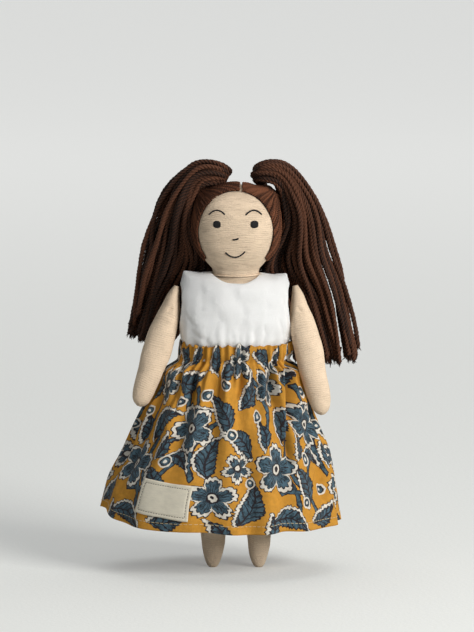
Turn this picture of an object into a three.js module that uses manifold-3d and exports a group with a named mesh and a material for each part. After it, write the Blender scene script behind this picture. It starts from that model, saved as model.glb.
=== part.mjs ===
// A sewn cloth doll, 300 mm tall: a stuffed body, head, arms and legs of linen, yarn hair in two
// bunches, a sleeveless white top and a printed skirt on an elastic waist.
// Millimetres. +Z is up, the doll faces -Y, and left and right are the doll's own.

import * as THREE from "three";
import Module from "manifold-3d";
import { mergeVertices } from "three/addons/utils/BufferGeometryUtils.js";

const wasm = await Module();
wasm.setup();

// Clearances and cloths
const FIT = 0.3; // between pieces that touch
const SKIN = 0.8; // linen of the body, with its turned seams
const TOP_CLOTH = 0.7;
const SKIRT_CLOTH = 1.0;
const THREAD_RADIUS = 0.45;

// Where the body stands: the skirt and hair reach further to one side than to the other
const BODY_OFFSET_X = 4.2;
const BODY_OFFSET_Y = 3.4;

// Legs
const LEG_SPACING = 34; // between the middles of the legs
const LEG_LENGTH = 97;
const LEG_HALF_WIDTH = 14; // at the hip
const LEG_HALF_DEPTH = 11.5;
const SOLE_RADIUS = 2.6; // the flat that the leg stands on
const HIP_STITCH_LENGTH = 25;
const HIP_STITCH_RADIUS = 1.2; // a loose row, so that the leg can swing

// Body
const BODY_HEIGHT = 117.8; // hip seam to neck seam
const BODY_HALF_WIDTH = 36;
const BODY_HALF_DEPTH = 20;

// Head and neck
const HEAD_HEIGHT = 67; // neck seam to crown
const HEAD_HALF_WIDTH = 31;
const HEAD_HALF_DEPTH = 25.5;

// Face
const EYE_RADIUS = 2.6;
const EYE_HEIGHT = 1;
const EYE_SPACING = 27.2;
const EYE_LEVEL = 40; // above the neck seam
const BROW_SPACING = 26.6; // between the tops of the brows
const BROW_LEVEL = 50.2;
const BROW_WIDTH = 11.4;
const BROW_RISE = 3.1;
const NOSE_LEVEL = 29.2;
const NOSE_WIDTH = 4;
const NOSE_SAG = 0.9;
const MOUTH_LEVEL = 15.6;
const MOUTH_WIDTH = 14;
const MOUTH_SAG = 3.9;
const FACE_THREAD_RADIUS = 0.35;

// Hair
const HAIR_THICKNESS = 2.5; // yarn laid over the head
const HAIRLINE_HALF_WIDTH = 26.8;
const HAIRLINE_HALF_HEIGHT = 30;
const HAIRLINE_LEVEL = 33; // middle of the face opening above the neck seam
const HAIRLINE_DEPTH = 4; // the opening starts this far in front of the middle of the head
const TEMPLE_LEVEL = 15; // lower edge of the hair beside the face
const NAPE_LEVEL = 6.5; // lower edge of the hair at the back
const PARTING_X = 3.8;
const PARTING_WIDTH = 1.6;
const TIE_X = 23;
const TIE_Y = 7;
const TIE_RADIUS = 6.6;
const TIE_YARN_RADIUS = 1.5;
const TIE_CLEAR = 1; // over the laid hair, which curves away under the ring
const BUNCH_LOCKS = 10;
const BUNCH_LOCK_DEPTH = 0.045; // share of the bunch's own half width
const BUNCH_BACK = 26; // middle of the hanging hair behind the middle of the body
const BUNCH_HALF_DEPTH = 17;
const LEFT_BUNCH_RISE = 16.4; // above the crown of the head
const LEFT_BUNCH_LENGTH = 157.5;
const LEFT_BUNCH_REACH = 92; // from the middle of the body
const RIGHT_BUNCH_RISE = 15.4;
const RIGHT_BUNCH_LENGTH = 140.5;
const RIGHT_BUNCH_REACH = 83;

// Arms
const ARM_LENGTH = 97;
const ARM_HALF_WIDTH = 9.6;
const ARM_HALF_DEPTH = 9.8;
const ARM_ABOVE_PIVOT = 18;
const ARM_PIVOT_DROP = 25.3; // below the neck seam
const ARM_PIVOT_Y = -1.5;
const ARM_TILT = 8; // degrees forwards
const ARM_THREAD_RADIUS = 1.2;
const LEFT_ARM_X = 46.8;
const LEFT_ARM_SPLAY = 12.6; // degrees
const RIGHT_ARM_X = 48.2;
const RIGHT_ARM_SPLAY = 18; // degrees

// Top
const TOP_LENGTH = 70;
const TOP_RISE = 0.7; // of the shoulder seam above the neck seam
const TOP_HALF_WIDTH = 42.5;
const TOP_HALF_DEPTH = 23.5;
const NECKLINE_HALF_WIDTH = 18.2;
const NECKLINE_FRONT = 17.9;
const NECKLINE_BACK = 17.2;
const NECKLINE_DROP = 5.8; // of the front edge below the shoulder seam
const ARMHOLE_HALF_HEIGHT = 17;
const ARMHOLE_HALF_DEPTH = 11.5;
const ARMHOLE_DROP = 24; // middle of the armhole below the shoulder seam
const ARMHOLE_Y = 1;
const BACK_SLIT_WIDTH = 1;
const PLACKET_WIDTH = 10;
const PLACKET_THICKNESS = 0.8;
const PLACKET_LENGTH = 46;
const BUTTON_RADIUS = 3;
const BUTTON_HEIGHT = 1.2;
const BUTTON_COUNT = 3;
const BUTTON_SPACING = 16;

// Skirt
const SKIRT_DROP = 49.8; // frill's edge below the neck seam
const SKIRT_LENGTH = 133;
const SKIRT_LEFT = 79; // reach at the hem, to the doll's left
const SKIRT_RIGHT = 100;
const SKIRT_FRONT = 65;
const SKIRT_BACK = 58;
const SKIRT_WAIST = 42.6; // half width at the waist
const SKIRT_WAIST_DEPTH = 25.2;
const SKIRT_FOLDS = 16;
const SKIRT_FOLD_DEPTH = 4.6; // below the middle of the skirt
const ELASTIC_DROP = 9.3; // middle of the elastic below the frill's edge
const ELASTIC_HEIGHT = 5;
const ELASTIC_THICKNESS = 0.8;
const HEM_HEIGHT = 6;
const HEM_THREAD_RADIUS = 0.3;

// Label sewn on the skirt
const LABEL_WIDTH = 42;
const LABEL_HEIGHT = 26;
const LABEL_THICKNESS = 0.6;
const LABEL_CLEAR = 0.6; // over the creases of the skirt
const LABEL_ANGLE = -34; // degrees round from the middle of the front
const LABEL_RISE = 23; // middle of the label above the hem
const LABEL_TILT = 2; // degrees
const LABEL_STITCH_INSET = 2.6;

// Places that follow from the sizes
const HIP_Z = LEG_LENGTH + FIT + HIP_STITCH_RADIUS;
const BODY_FOOT = HIP_Z + HIP_STITCH_RADIUS + FIT;
const BODY_TOP = BODY_FOOT + BODY_HEIGHT;
const NECK_Z = BODY_TOP + FIT;
const HEAD_TOP = NECK_Z + HEAD_HEIGHT;
const ARM_PIVOT_Z = BODY_TOP - ARM_PIVOT_DROP;
const TOP_SHOULDER_Z = BODY_TOP + TOP_RISE;
const TOP_HEM_Z = TOP_SHOULDER_Z - TOP_LENGTH;
const ARMHOLE_Z = TOP_SHOULDER_Z - ARMHOLE_DROP;
const SKIRT_TOP_Z = BODY_TOP - SKIRT_DROP;
const SKIRT_HEM_Z = SKIRT_TOP_Z - SKIRT_LENGTH;
const LABEL_Z = SKIRT_HEM_Z + LABEL_RISE;

const LEFT = 1;
const RIGHT = -1;

const linen = () => new THREE.MeshStandardMaterial({ color: 0xd8bfa0, roughness: 0.9, metalness: 0 });
const stuffing = () => new THREE.MeshStandardMaterial({ color: 0xf1eee6, roughness: 1, metalness: 0 });
const hairYarn = () => new THREE.MeshStandardMaterial({ color: 0x2a1511, roughness: 0.85, metalness: 0 });
const whiteLinen = () => new THREE.MeshStandardMaterial({ color: 0xf3f2f0, roughness: 0.9, metalness: 0 });
const printedCotton = () => new THREE.MeshStandardMaterial({ color: 0xc8963c, roughness: 0.85, metalness: 0 });
const blackThread = () => new THREE.MeshStandardMaterial({ color: 0x15110f, roughness: 0.6, metalness: 0 });
const paleThread = () => new THREE.MeshStandardMaterial({ color: 0xe9dfcb, roughness: 0.7, metalness: 0 });
const labelTape = () => new THREE.MeshStandardMaterial({ color: 0xe8dcc0, roughness: 0.9, metalness: 0 });
const shellButton = () => new THREE.MeshStandardMaterial({ color: 0xf0ece2, roughness: 0.35, metalness: 0 });
const elasticBand = () => new THREE.MeshStandardMaterial({ color: 0xf4f2ee, roughness: 0.8, metalness: 0 });

const radians = THREE.MathUtils.degToRad;
const lerp = THREE.MathUtils.lerp;

// Linear reading of a table whose rows start with an increasing number.
function readTable(rows, key) {
  const last = rows.length - 1;
  if (key <= rows[0][0]) return rows[0].slice(1);
  if (key >= rows[last][0]) return rows[last].slice(1);
  const next = rows.findIndex((row) => row[0] > key);
  const share = (key - rows[next - 1][0]) / (rows[next][0] - rows[next - 1][0]);
  return rows[next].slice(1).map((value, i) => lerp(rows[next - 1][i + 1], value, share));
}

// A rounded section: squareness 2 is an ellipse, more is boxier, less is more pointed.
function section(x, y, z, halfWidth, halfDepth, squareness, count) {
  return Array.from({ length: count }, (_, i) => {
    const angle = (2 * Math.PI * i) / count;
    const across = Math.sin(angle);
    const along = -Math.cos(angle);
    return new THREE.Vector3(
      x + halfWidth * Math.sign(across) * Math.abs(across) ** (2 / squareness),
      y + halfDepth * Math.sign(along) * Math.abs(along) ** (2 / squareness),
      z,
    );
  });
}

function signedVolume(points, triangles) {
  const volume = triangles.map(([a, b, c]) => points[a].dot(points[b].clone().cross(points[c])));
  return volume.reduce((sum, part) => sum + part, 0) / 6;
}

function geometryOf(points, triangles) {
  const inside = signedVolume(points, triangles) < 0;
  const facing = triangles.map(([a, b, c]) => (inside ? [a, c, b] : [a, b, c]));
  const geometry = new THREE.BufferGeometry();
  const numbers = points.flatMap((point) => point.toArray());
  geometry.setAttribute("position", new THREE.Float32BufferAttribute(numbers, 3));
  geometry.setIndex(facing.flat());
  return geometry;
}

// Joins rings of equal counts into one closed solid. It closes on a start and an end point, or,
// when they are left out, the last ring joins the first.
function loft(rings, start, end) {
  const count = rings[0].length;
  const points = rings.flat();
  const triangles = [];
  const bands = start ? rings.length - 1 : rings.length;
  for (let r = 0; r < bands; r++) {
    const upper = ((r + 1) % rings.length) * count;
    for (let i = 0; i < count; i++) {
      const j = (i + 1) % count;
      triangles.push([r * count + i, r * count + j, upper + j], [r * count + i, upper + j, upper + i]);
    }
  }
  if (start) {
    const lastRing = (rings.length - 1) * count;
    points.push(start, end);
    for (let i = 0; i < count; i++) {
      const j = (i + 1) % count;
      triangles.push([j, i, points.length - 2], [lastRing + i, lastRing + j, points.length - 1]);
    }
  }
  return geometryOf(points, triangles);
}

function middleOf(ring) {
  const sum = ring.reduce((total, point) => total.add(point), new THREE.Vector3());
  return sum.divideScalar(ring.length);
}

function closedLoft(rings) {
  return loft(rings, middleOf(rings[0]), middleOf(rings.at(-1)));
}

// A stuffed or hanging form that swells and tapers with height. Its rows give a share of the
// height, then shares of the half width and half depth, and the squareness there.
class Form {
  constructor({ foot, height, halfWidth, halfDepth, rows, x = 0, y = 0 }) {
    Object.assign(this, { foot, height, halfWidth, halfDepth, rows, x, y });
  }

  at(z) {
    const [width, depth, squareness] = readTable(this.rows, (z - this.foot) / this.height);
    return { width: width * this.halfWidth, depth: depth * this.halfDepth, squareness };
  }

  rings(count) {
    return this.rows.map(([share, width, depth, squareness]) => {
      const z = this.foot + share * this.height;
      return section(this.x, this.y, z, width * this.halfWidth, depth * this.halfDepth, squareness, count);
    });
  }

  // Depth of the surface in front of or behind the middle, at a place across the form.
  depthAt(x, z) {
    const { width, depth, squareness } = this.at(z);
    const across = Math.min(Math.abs(x - this.x) / width, 1);
    return depth * (1 - across ** squareness) ** (1 / squareness);
  }

  widthAt(y, z) {
    const { width, depth, squareness } = this.at(z);
    const along = Math.min(Math.abs(y - this.y) / depth, 1);
    return width * (1 - along ** squareness) ** (1 / squareness);
  }
}

// Rings moved out along the surface, or in. The end rings move level, and then up by an amount each.
function offsetRings(rings, distance, raiseFoot, raiseTop) {
  const last = rings.length - 1;
  return rings.map((ring, r) =>
    ring.map((point, i) => {
      const around = ring[(i + 1) % ring.length].clone().sub(ring.at(i - 1));
      const along = rings[Math.min(r + 1, last)][i].clone().sub(rings[Math.max(r - 1, 0)][i]);
      const normal = around.cross(along);
      if (r === 0 || r === last) normal.setZ(0);
      const moved = point.clone().addScaledVector(normal.normalize(), distance);
      if (r === 0) moved.z += raiseFoot;
      if (r === last) moved.z += raiseTop;
      return moved;
    }),
  );
}

// The filling inside a skin.
function fillingOf(form, count, openAtTop, lip = 0) {
  const inset = SKIN + FIT;
  const rings = offsetRings(
    form.rings(count),
    -inset,
    openAtTop ? inset : FIT,
    openAtTop ? -FIT - lip : -inset,
  );
  const end = openAtTop ? rings.at(-1)[0].z : form.foot + form.height - inset;
  const low = new THREE.Vector3(form.x, form.y, rings[0][0].z);
  return loft(rings, low, new THREE.Vector3(form.x, form.y, end));
}

// Manifold solids, for cuts and joins
function solidOf(geometry) {
  const bare = geometry.clone();
  bare.deleteAttribute("normal");
  bare.deleteAttribute("uv");
  const merged = mergeVertices(bare, 1e-4);
  return new wasm.Manifold(
    new wasm.Mesh({
      numProp: 3,
      vertProperties: new Float32Array(merged.attributes.position.array),
      triVerts: new Uint32Array(merged.index.array),
    }),
  );
}

function geometryFrom(solid) {
  const mesh = solid.getMesh();
  const geometry = new THREE.BufferGeometry();
  geometry.setAttribute("position", new THREE.Float32BufferAttribute(mesh.vertProperties, 3));
  geometry.setIndex(Array.from(mesh.triVerts));
  return geometry;
}

// A sewn skin: closed at one end of the form, open at the other, as it is before it is sewn shut.
// The filling's room reaches its full width lower than the opening by the lip.
function skinOf(form, count, openAtTop, lip = 0) {
  const outer = form.rings(count);
  const inner = offsetRings(outer, -SKIN, openAtTop ? SKIN : 0, openAtTop ? -lip : -SKIN);
  const open = openAtTop ? inner.at(-1) : inner[0];
  const past = open.map((point) => point.clone().setZ(point.z + (openAtTop ? 1 : -1) * 2 * SKIN));
  const room = openAtTop ? [...inner, past] : [past, ...inner];
  const foot = new THREE.Vector3(form.x, form.y, form.foot);
  const end = new THREE.Vector3(form.x, form.y, form.foot + form.height);
  const roomFoot = openAtTop ? foot.clone().setZ(foot.z + SKIN) : middleOf(past);
  const roomEnd = openAtTop ? middleOf(past) : end.clone().setZ(end.z - SKIN);
  const whole = solidOf(loft(outer, foot, end));
  return geometryFrom(whole.subtract(solidOf(loft(room, roomFoot, roomEnd))));
}

function box(x, y, z, width, depth, height) {
  return solidOf(new THREE.BoxGeometry(width, depth, height).translate(x, y, z));
}

function namedMesh(name, geometry, material) {
  const mesh = new THREE.Mesh(geometry, material);
  mesh.name = name;
  return mesh;
}

const side = (hand) => (hand === LEFT ? "left" : "right");

// A tube along a few points, with flat ends.
function threadGeometry(points, radius, steps, sides = 6) {
  const round = new THREE.Shape(
    Array.from({ length: sides }, (_, i) => {
      const angle = (2 * Math.PI * i) / sides;
      return new THREE.Vector2(radius * Math.cos(angle), radius * Math.sin(angle));
    }),
  );
  const path = new THREE.CatmullRomCurve3(points);
  return new THREE.ExtrudeGeometry(round, { steps, extrudePath: path, bevelEnabled: false });
}

// A tube round a closed loop of points. Its sections turn with the loop about the given middle.
function loopGeometry(points, radius, sides = 6) {
  const middle = middleOf(points);
  const rings = points.map((point, i) => {
    const next = points[(i + 1) % points.length];
    const previous = points.at(i - 1);
    const tangent = next.clone().sub(previous).normalize();
    const outwards = point.clone().sub(middle);
    outwards.addScaledVector(tangent, -outwards.dot(tangent)).normalize();
    const across = tangent.clone().cross(outwards);
    return Array.from({ length: sides }, (_, k) => {
      const angle = (2 * Math.PI * k) / sides;
      const offset = outwards.clone().multiplyScalar(radius * Math.cos(angle));
      return point.clone().add(offset.addScaledVector(across, radius * Math.sin(angle)));
    });
  });
  return loft(rings);
}

// Legs
const LEG_COUNT = 10;
const LEG_ROWS = [
  [0, SOLE_RADIUS / LEG_HALF_WIDTH, SOLE_RADIUS / LEG_HALF_DEPTH, 2],
  [0.014, 0.28, 0.34, 2],
  [0.05, 0.39, 0.46, 2],
  [0.11, 0.51, 0.61, 2],
  [0.2, 0.62, 0.75, 2],
  [0.32, 0.69, 0.84, 2],
  [0.52, 0.79, 0.94, 2.1],
  [0.7, 0.9, 1, 2.2],
  [0.83, 0.98, 0.81, 2.3],
  [0.94, 1, 0.34, 2.4],
  [1, 0.98, 0.12, 2.4],
];

function legForm(hand) {
  return new Form({
    foot: 0,
    height: LEG_LENGTH,
    halfWidth: LEG_HALF_WIDTH,
    halfDepth: LEG_HALF_DEPTH,
    rows: LEG_ROWS,
    x: (hand * LEG_SPACING) / 2,
  });
}

function leg(hand) {
  const form = legForm(hand);
  const group = new THREE.Group();
  group.add(
    namedMesh(`${side(hand)}_leg`, skinOf(form, LEG_COUNT, true), linen()),
    namedMesh(`${side(hand)}_leg_stuffing`, fillingOf(form, LEG_COUNT, true), stuffing()),
  );
  return group;
}

function hipStitches(hand) {
  const geometry = new THREE.CylinderGeometry(
    HIP_STITCH_RADIUS,
    HIP_STITCH_RADIUS,
    HIP_STITCH_LENGTH,
    6,
  );
  const mesh = namedMesh(`${side(hand)}_hip_stitches`, geometry, paleThread());
  mesh.rotation.z = Math.PI / 2;
  mesh.position.set((hand * LEG_SPACING) / 2, 0, HIP_Z);
  return mesh;
}

// Body
const BODY_COUNT = 20;
const body = new Form({
  foot: BODY_FOOT,
  height: BODY_HEIGHT,
  halfWidth: BODY_HALF_WIDTH,
  halfDepth: BODY_HALF_DEPTH,
  rows: [
    [0, 0.93, 0.07, 2.4],
    [0.04, 0.97, 0.25, 2.4],
    [0.1, 1, 0.5, 2.3],
    [0.19, 0.99, 0.76, 2.2],
    [0.3, 0.93, 0.86, 2.1],
    [0.42, 0.87, 0.84, 2.1],
    [0.52, 0.875, 0.84, 2.1],
    [0.65, 0.93, 0.93, 2.2],
    [0.78, 0.97, 0.93, 2.1],
    [0.88, 0.97, 0.84, 2],
    [0.94, 0.93, 0.76, 1.7],
    [0.97, 0.84, 0.7, 1.6],
    [0.985, 0.66, 0.68, 1.7],
    [1, 0.48, 0.71, 2],
  ],
});

// Head: the neck ring is the first row
const HEAD_COUNT = 22;
const head = new Form({
  foot: NECK_Z,
  height: HEAD_HEIGHT,
  halfWidth: HEAD_HALF_WIDTH,
  halfDepth: HEAD_HALF_DEPTH,
  rows: [
    [0, 0.54, 0.57, 2],
    [0.07, 0.56, 0.6, 2],
    [0.13, 0.66, 0.67, 2],
    [0.19, 0.77, 0.76, 2.05],
    [0.26, 0.87, 0.86, 2.1],
    [0.36, 0.955, 0.95, 2.1],
    [0.5, 1, 1, 2.1],
    [0.63, 0.985, 0.985, 2.1],
    [0.75, 0.92, 0.925, 2.1],
    [0.85, 0.8, 0.8, 2.05],
    [0.93, 0.6, 0.6, 2],
    [0.98, 0.34, 0.34, 2],
  ],
});

function neckSeam() {
  const { width, depth } = head.at(NECK_Z);
  const clear = FIT + THREAD_RADIUS;
  const z = NECK_Z + THREAD_RADIUS + FIT;
  const loop = section(0, 0, z, width + clear, depth + clear, 2, HEAD_COUNT);
  return namedMesh("neck_seam_thread", loopGeometry(loop, THREAD_RADIUS, 5), linen());
}

// A point just off the front of the head.
function onFace(x, level, clear) {
  const z = NECK_Z + level;
  return new THREE.Vector3(x, head.y - head.depthAt(x, z) - clear, z);
}

function eye(hand) {
  const profile = [
    [0, -EYE_HEIGHT / 2],
    [1, -EYE_HEIGHT / 2],
    [1, 0],
    [0.7, EYE_HEIGHT * 0.36],
    [0, EYE_HEIGHT / 2],
  ];
  const points = profile.map(([share, y]) => new THREE.Vector2(share * EYE_RADIUS, y));
  const mesh = namedMesh(`${side(hand)}_eye`, new THREE.LatheGeometry(points, 12), blackThread());
  const x = (hand * EYE_SPACING) / 2;
  const seat = onFace(x, EYE_LEVEL, 0);
  const across = onFace(x + EYE_RADIUS, EYE_LEVEL, 0).sub(onFace(x - EYE_RADIUS, EYE_LEVEL, 0));
  const upwards = onFace(x, EYE_LEVEL + EYE_RADIUS, 0).sub(onFace(x, EYE_LEVEL - EYE_RADIUS, 0));
  const outwards = across.cross(upwards).normalize();
  mesh.quaternion.setFromUnitVectors(new THREE.Vector3(0, 1, 0), outwards);
  mesh.position.copy(seat.addScaledVector(outwards, EYE_HEIGHT / 2 + FIT));
  return mesh;
}

// A stitched line on the face: a shallow arc, up for a brow, down for the nose and the mouth.
function faceStitch(name, x, level, width, rise) {
  const clear = FIT + FACE_THREAD_RADIUS;
  const points = [-1, -0.5, 0, 0.5, 1].map((share) =>
    onFace(x + (share * width) / 2, level + rise * (1 - share * share), clear),
  );
  return namedMesh(name, threadGeometry(points, FACE_THREAD_RADIUS, 8), blackThread());
}

function face() {
  const group = new THREE.Group();
  for (const hand of [LEFT, RIGHT]) {
    const x = (hand * BROW_SPACING) / 2;
    group.add(eye(hand));
    group.add(faceStitch(`${side(hand)}_brow`, x, BROW_LEVEL - BROW_RISE, BROW_WIDTH, BROW_RISE));
  }
  group.add(faceStitch("nose_stitch", 0, NOSE_LEVEL + NOSE_SAG, NOSE_WIDTH, -NOSE_SAG));
  group.add(faceStitch("mouth_stitch", 0, MOUTH_LEVEL + MOUTH_SAG, MOUTH_WIDTH, -MOUTH_SAG));
  return group;
}

// Hair laid over the head, in two halves that part a little to the doll's left of the middle
const CAP_COUNT = 22;

function headShape(grow) {
  const rings = offsetRings(head.rings(CAP_COUNT), grow, 0, grow);
  const crown = new THREE.Vector3(head.x, head.y, HEAD_TOP + grow);
  return solidOf(loft(rings, middleOf(rings[0]), crown));
}

const capOuter = headShape(FIT + HAIR_THICKNESS);

function faceOpening() {
  const reach = 2 * HEAD_HALF_DEPTH;
  const round = new THREE.CylinderGeometry(1, 1, reach, 30);
  round.scale(HAIRLINE_HALF_WIDTH, 1, HAIRLINE_HALF_HEIGHT);
  round.translate(0, -HAIRLINE_DEPTH - reach / 2, NECK_Z + HAIRLINE_LEVEL);
  return solidOf(round);
}

// The wedge under the hair's lower edge, from the temples down to the nape.
function underHair() {
  const reach = 2 * HEAD_HALF_DEPTH;
  const slope = (TEMPLE_LEVEL - NAPE_LEVEL) / reach;
  const wedge = new THREE.Shape([
    new THREE.Vector2(-reach, -reach),
    new THREE.Vector2(reach, -reach),
    new THREE.Vector2(reach, NAPE_LEVEL - slope * HEAD_HALF_DEPTH),
    new THREE.Vector2(-reach, TEMPLE_LEVEL + slope * HEAD_HALF_DEPTH),
  ]);
  const geometry = new THREE.ExtrudeGeometry(wedge, { depth: 2 * reach, bevelEnabled: false });
  geometry.rotateX(Math.PI / 2);
  geometry.rotateZ(Math.PI / 2);
  geometry.translate(-reach, 0, NECK_Z);
  return solidOf(geometry);
}

function hairCap(hand) {
  const span = 4 * HEAD_HALF_WIDTH;
  const edge = PARTING_X + (hand * PARTING_WIDTH) / 2;
  const half = box(edge + (hand * span) / 2, 0, HEAD_TOP, span, span, 2 * span);
  const cap = capOuter
    .subtract(headShape(FIT))
    .subtract(faceOpening())
    .subtract(underHair())
    .intersect(half);
  return namedMesh(`${side(hand)}_hair_cap`, geometryFrom(cap), hairYarn());
}

// The yarn tie round the root of each bunch. Its axis stands square to the head.
function tiePlace(hand) {
  let z = NECK_Z + HEAD_HEIGHT / 2;
  while (z < HEAD_TOP && head.widthAt(TIE_Y, z) > TIE_X) z += 0.05;
  const narrowing = head.widthAt(TIE_Y, z - 1) - head.widthAt(TIE_Y, z + 1);
  const axis = new THREE.Vector3(hand * 2, 0, narrowing).normalize();
  const surface = new THREE.Vector3(hand * TIE_X, TIE_Y, z);
  const offset = FIT + HAIR_THICKNESS + TIE_CLEAR + TIE_YARN_RADIUS;
  return { axis, centre: surface.addScaledVector(axis, offset) };
}

function ringAt(hand, radius, yarn, sides) {
  const { axis, centre } = tiePlace(hand);
  const geometry = new THREE.TorusGeometry(radius, yarn, sides, 18);
  const turn = new THREE.Quaternion().setFromUnitVectors(new THREE.Vector3(0, 0, 1), axis);
  return geometry.applyQuaternion(turn).translate(centre.x, centre.y, centre.z);
}

function hairTie(hand) {
  return namedMesh(`${side(hand)}_hair_tie`, ringAt(hand, TIE_RADIUS, TIE_YARN_RADIUS, 6), hairYarn());
}

// A bunch of yarn springs up from its tie, folds outwards and hangs behind the arm. Rows from the
// top: share of the length, inner and outer edge as shares of the reach, thickness, and how far
// back it lies, as shares of the full values.
const BUNCH_COUNT = 20;
const LEFT_BUNCH_ROWS = [
  [0.007, 0.22, 0.36, 0.38, 0.27],
  [0.026, 0.17, 0.43, 0.62, 0.27],
  [0.066, 0.145, 0.53, 0.79, 0.27],
  [0.12, 0.16, 0.615, 0.91, 0.27],
  [0.18, 0.22, 0.68, 0.97, 0.31],
  [0.25, 0.28, 0.735, 1, 0.35],
  [0.33, 0.33, 0.78, 0.97, 0.42],
  [0.42, 0.33, 0.825, 0.88, 0.54],
  [0.48, 0.26, 0.86, 0.79, 0.65],
  [0.53, 0.22, 0.885, 0.74, 0.77],
  [0.58, 0.35, 0.9, 0.69, 0.92],
  [0.625, 0.435, 0.91, 0.64, 1],
  [0.72, 0.445, 0.925, 0.64, 1],
  [0.84, 0.47, 0.955, 0.62, 1],
  [0.92, 0.54, 0.985, 0.55, 1],
  [0.973, 0.63, 0.96, 0.4, 1],
  [0.995, 0.7, 0.82, 0.18, 1],
];
const RIGHT_BUNCH_ROWS = [
  [0.007, 0.15, 0.31, 0.38, 0.27],
  [0.03, 0.07, 0.4, 0.62, 0.27],
  [0.07, 0.03, 0.48, 0.79, 0.27],
  [0.11, 0.06, 0.54, 0.88, 0.27],
  [0.176, 0.2, 0.64, 0.97, 0.3],
  [0.287, 0.33, 0.75, 1, 0.36],
  [0.4, 0.36, 0.83, 0.95, 0.46],
  [0.5, 0.33, 0.84, 0.85, 0.6],
  [0.585, 0.265, 0.855, 0.74, 0.77],
  [0.64, 0.41, 0.867, 0.69, 0.92],
  [0.69, 0.5, 0.89, 0.64, 1],
  [0.8, 0.52, 0.945, 0.62, 1],
  [0.9, 0.56, 0.955, 0.57, 1],
  [0.955, 0.64, 1, 0.44, 1],
  [0.992, 0.74, 0.9, 0.2, 1],
];

function bunchRing(hand, topZ, length, reach, [share, inner, outer, thickness, back]) {
  const halfWidth = ((outer - inner) * reach) / 2;
  const halfDepth = thickness * BUNCH_HALF_DEPTH;
  const x = hand * (inner + outer) * 0.5 * reach;
  const y = back * BUNCH_BACK;
  const z = topZ - share * length;
  const centre = new THREE.Vector3(x, y, z);
  return section(x, y, z, halfWidth, halfDepth, 2, BUNCH_COUNT).map((point, i) => {
    const lock = Math.cos((2 * Math.PI * i * BUNCH_LOCKS) / BUNCH_COUNT);
    return point.sub(centre).multiplyScalar(1 + BUNCH_LOCK_DEPTH * (lock - 1)).add(centre);
  });
}

function hairBunch(hand) {
  const rows = hand === LEFT ? LEFT_BUNCH_ROWS : RIGHT_BUNCH_ROWS;
  const topZ = HEAD_TOP + (hand === LEFT ? LEFT_BUNCH_RISE : RIGHT_BUNCH_RISE);
  const length = hand === LEFT ? LEFT_BUNCH_LENGTH : RIGHT_BUNCH_LENGTH;
  const reach = hand === LEFT ? LEFT_BUNCH_REACH : RIGHT_BUNCH_REACH;
  const rings = rows.map((row) => bunchRing(hand, topZ, length, reach, row));
  const crown = middleOf(rings[0]).setZ(topZ);
  const tips = middleOf(rings.at(-1)).setZ(topZ - length);
  const groove = solidOf(ringAt(hand, TIE_RADIUS, TIE_YARN_RADIUS + FIT, 8));
  const bunchSolid = solidOf(loft(rings, crown, tips))
    .subtract(headShape(2 * FIT + HAIR_THICKNESS))
    .subtract(groove);
  return namedMesh(`${side(hand)}_hair_bunch`, geometryFrom(bunchSolid), hairYarn());
}

// Arms, drawn straight down from the pivot and then splayed and tilted
const ARM_COUNT = 10;
const ARM_ROWS = [
  [0, 0.2, 0.2, 2],
  [0.016, 0.41, 0.41, 2],
  [0.05, 0.61, 0.61, 2],
  [0.12, 0.76, 0.76, 2],
  [0.24, 0.86, 0.86, 2],
  [0.38, 0.95, 0.94, 2],
  [0.52, 1, 0.98, 2],
  [0.66, 0.99, 1, 2],
  [0.78, 0.85, 0.98, 2],
  [0.86, 0.68, 0.92, 2],
  [0.94, 0.45, 0.76, 2],
  [1, 0.21, 0.42, 2],
];

function armPlace(hand) {
  const splay = hand === LEFT ? LEFT_ARM_SPLAY : RIGHT_ARM_SPLAY;
  return { x: hand === LEFT ? LEFT_ARM_X : RIGHT_ARM_X, splay: radians(splay) };
}

function arm(hand) {
  const place = armPlace(hand);
  const form = new Form({
    foot: ARM_ABOVE_PIVOT - ARM_LENGTH,
    height: ARM_LENGTH,
    halfWidth: ARM_HALF_WIDTH,
    halfDepth: ARM_HALF_DEPTH,
    rows: ARM_ROWS,
  });
  const group = new THREE.Group();
  group.add(
    namedMesh(`${side(hand)}_arm`, skinOf(form, ARM_COUNT, true), linen()),
    namedMesh(`${side(hand)}_arm_stuffing`, fillingOf(form, ARM_COUNT, true), stuffing()),
  );
  group.position.set(hand * place.x, ARM_PIVOT_Y, ARM_PIVOT_Z);
  group.rotation.set(-radians(ARM_TILT), -hand * place.splay, 0);
  return group;
}

// The thread that joins an arm to the side of the body, and lets it swing.
function armThread(hand) {
  const place = armPlace(hand);
  const share = (ARM_LENGTH - ARM_ABOVE_PIVOT) / ARM_LENGTH;
  const flat = ARM_HALF_WIDTH * Math.cos(Math.PI / ARM_COUNT); // out to the facet beside the body
  const armHalf = (readTable(ARM_ROWS, share)[0] * flat) / Math.cos(place.splay);
  const from = body.widthAt(ARM_PIVOT_Y, ARM_PIVOT_Z) + FIT;
  const lean = ARM_THREAD_RADIUS * Math.tan(place.splay);
  const to = place.x - armHalf - lean - FIT / 2;
  const geometry = new THREE.CylinderGeometry(ARM_THREAD_RADIUS, ARM_THREAD_RADIUS, to - from, 8);
  const mesh = namedMesh(`${side(hand)}_arm_thread`, geometry, linen());
  mesh.rotation.z = Math.PI / 2;
  mesh.position.set((hand * (from + to)) / 2, ARM_PIVOT_Y, ARM_PIVOT_Z);
  return mesh;
}

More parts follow.
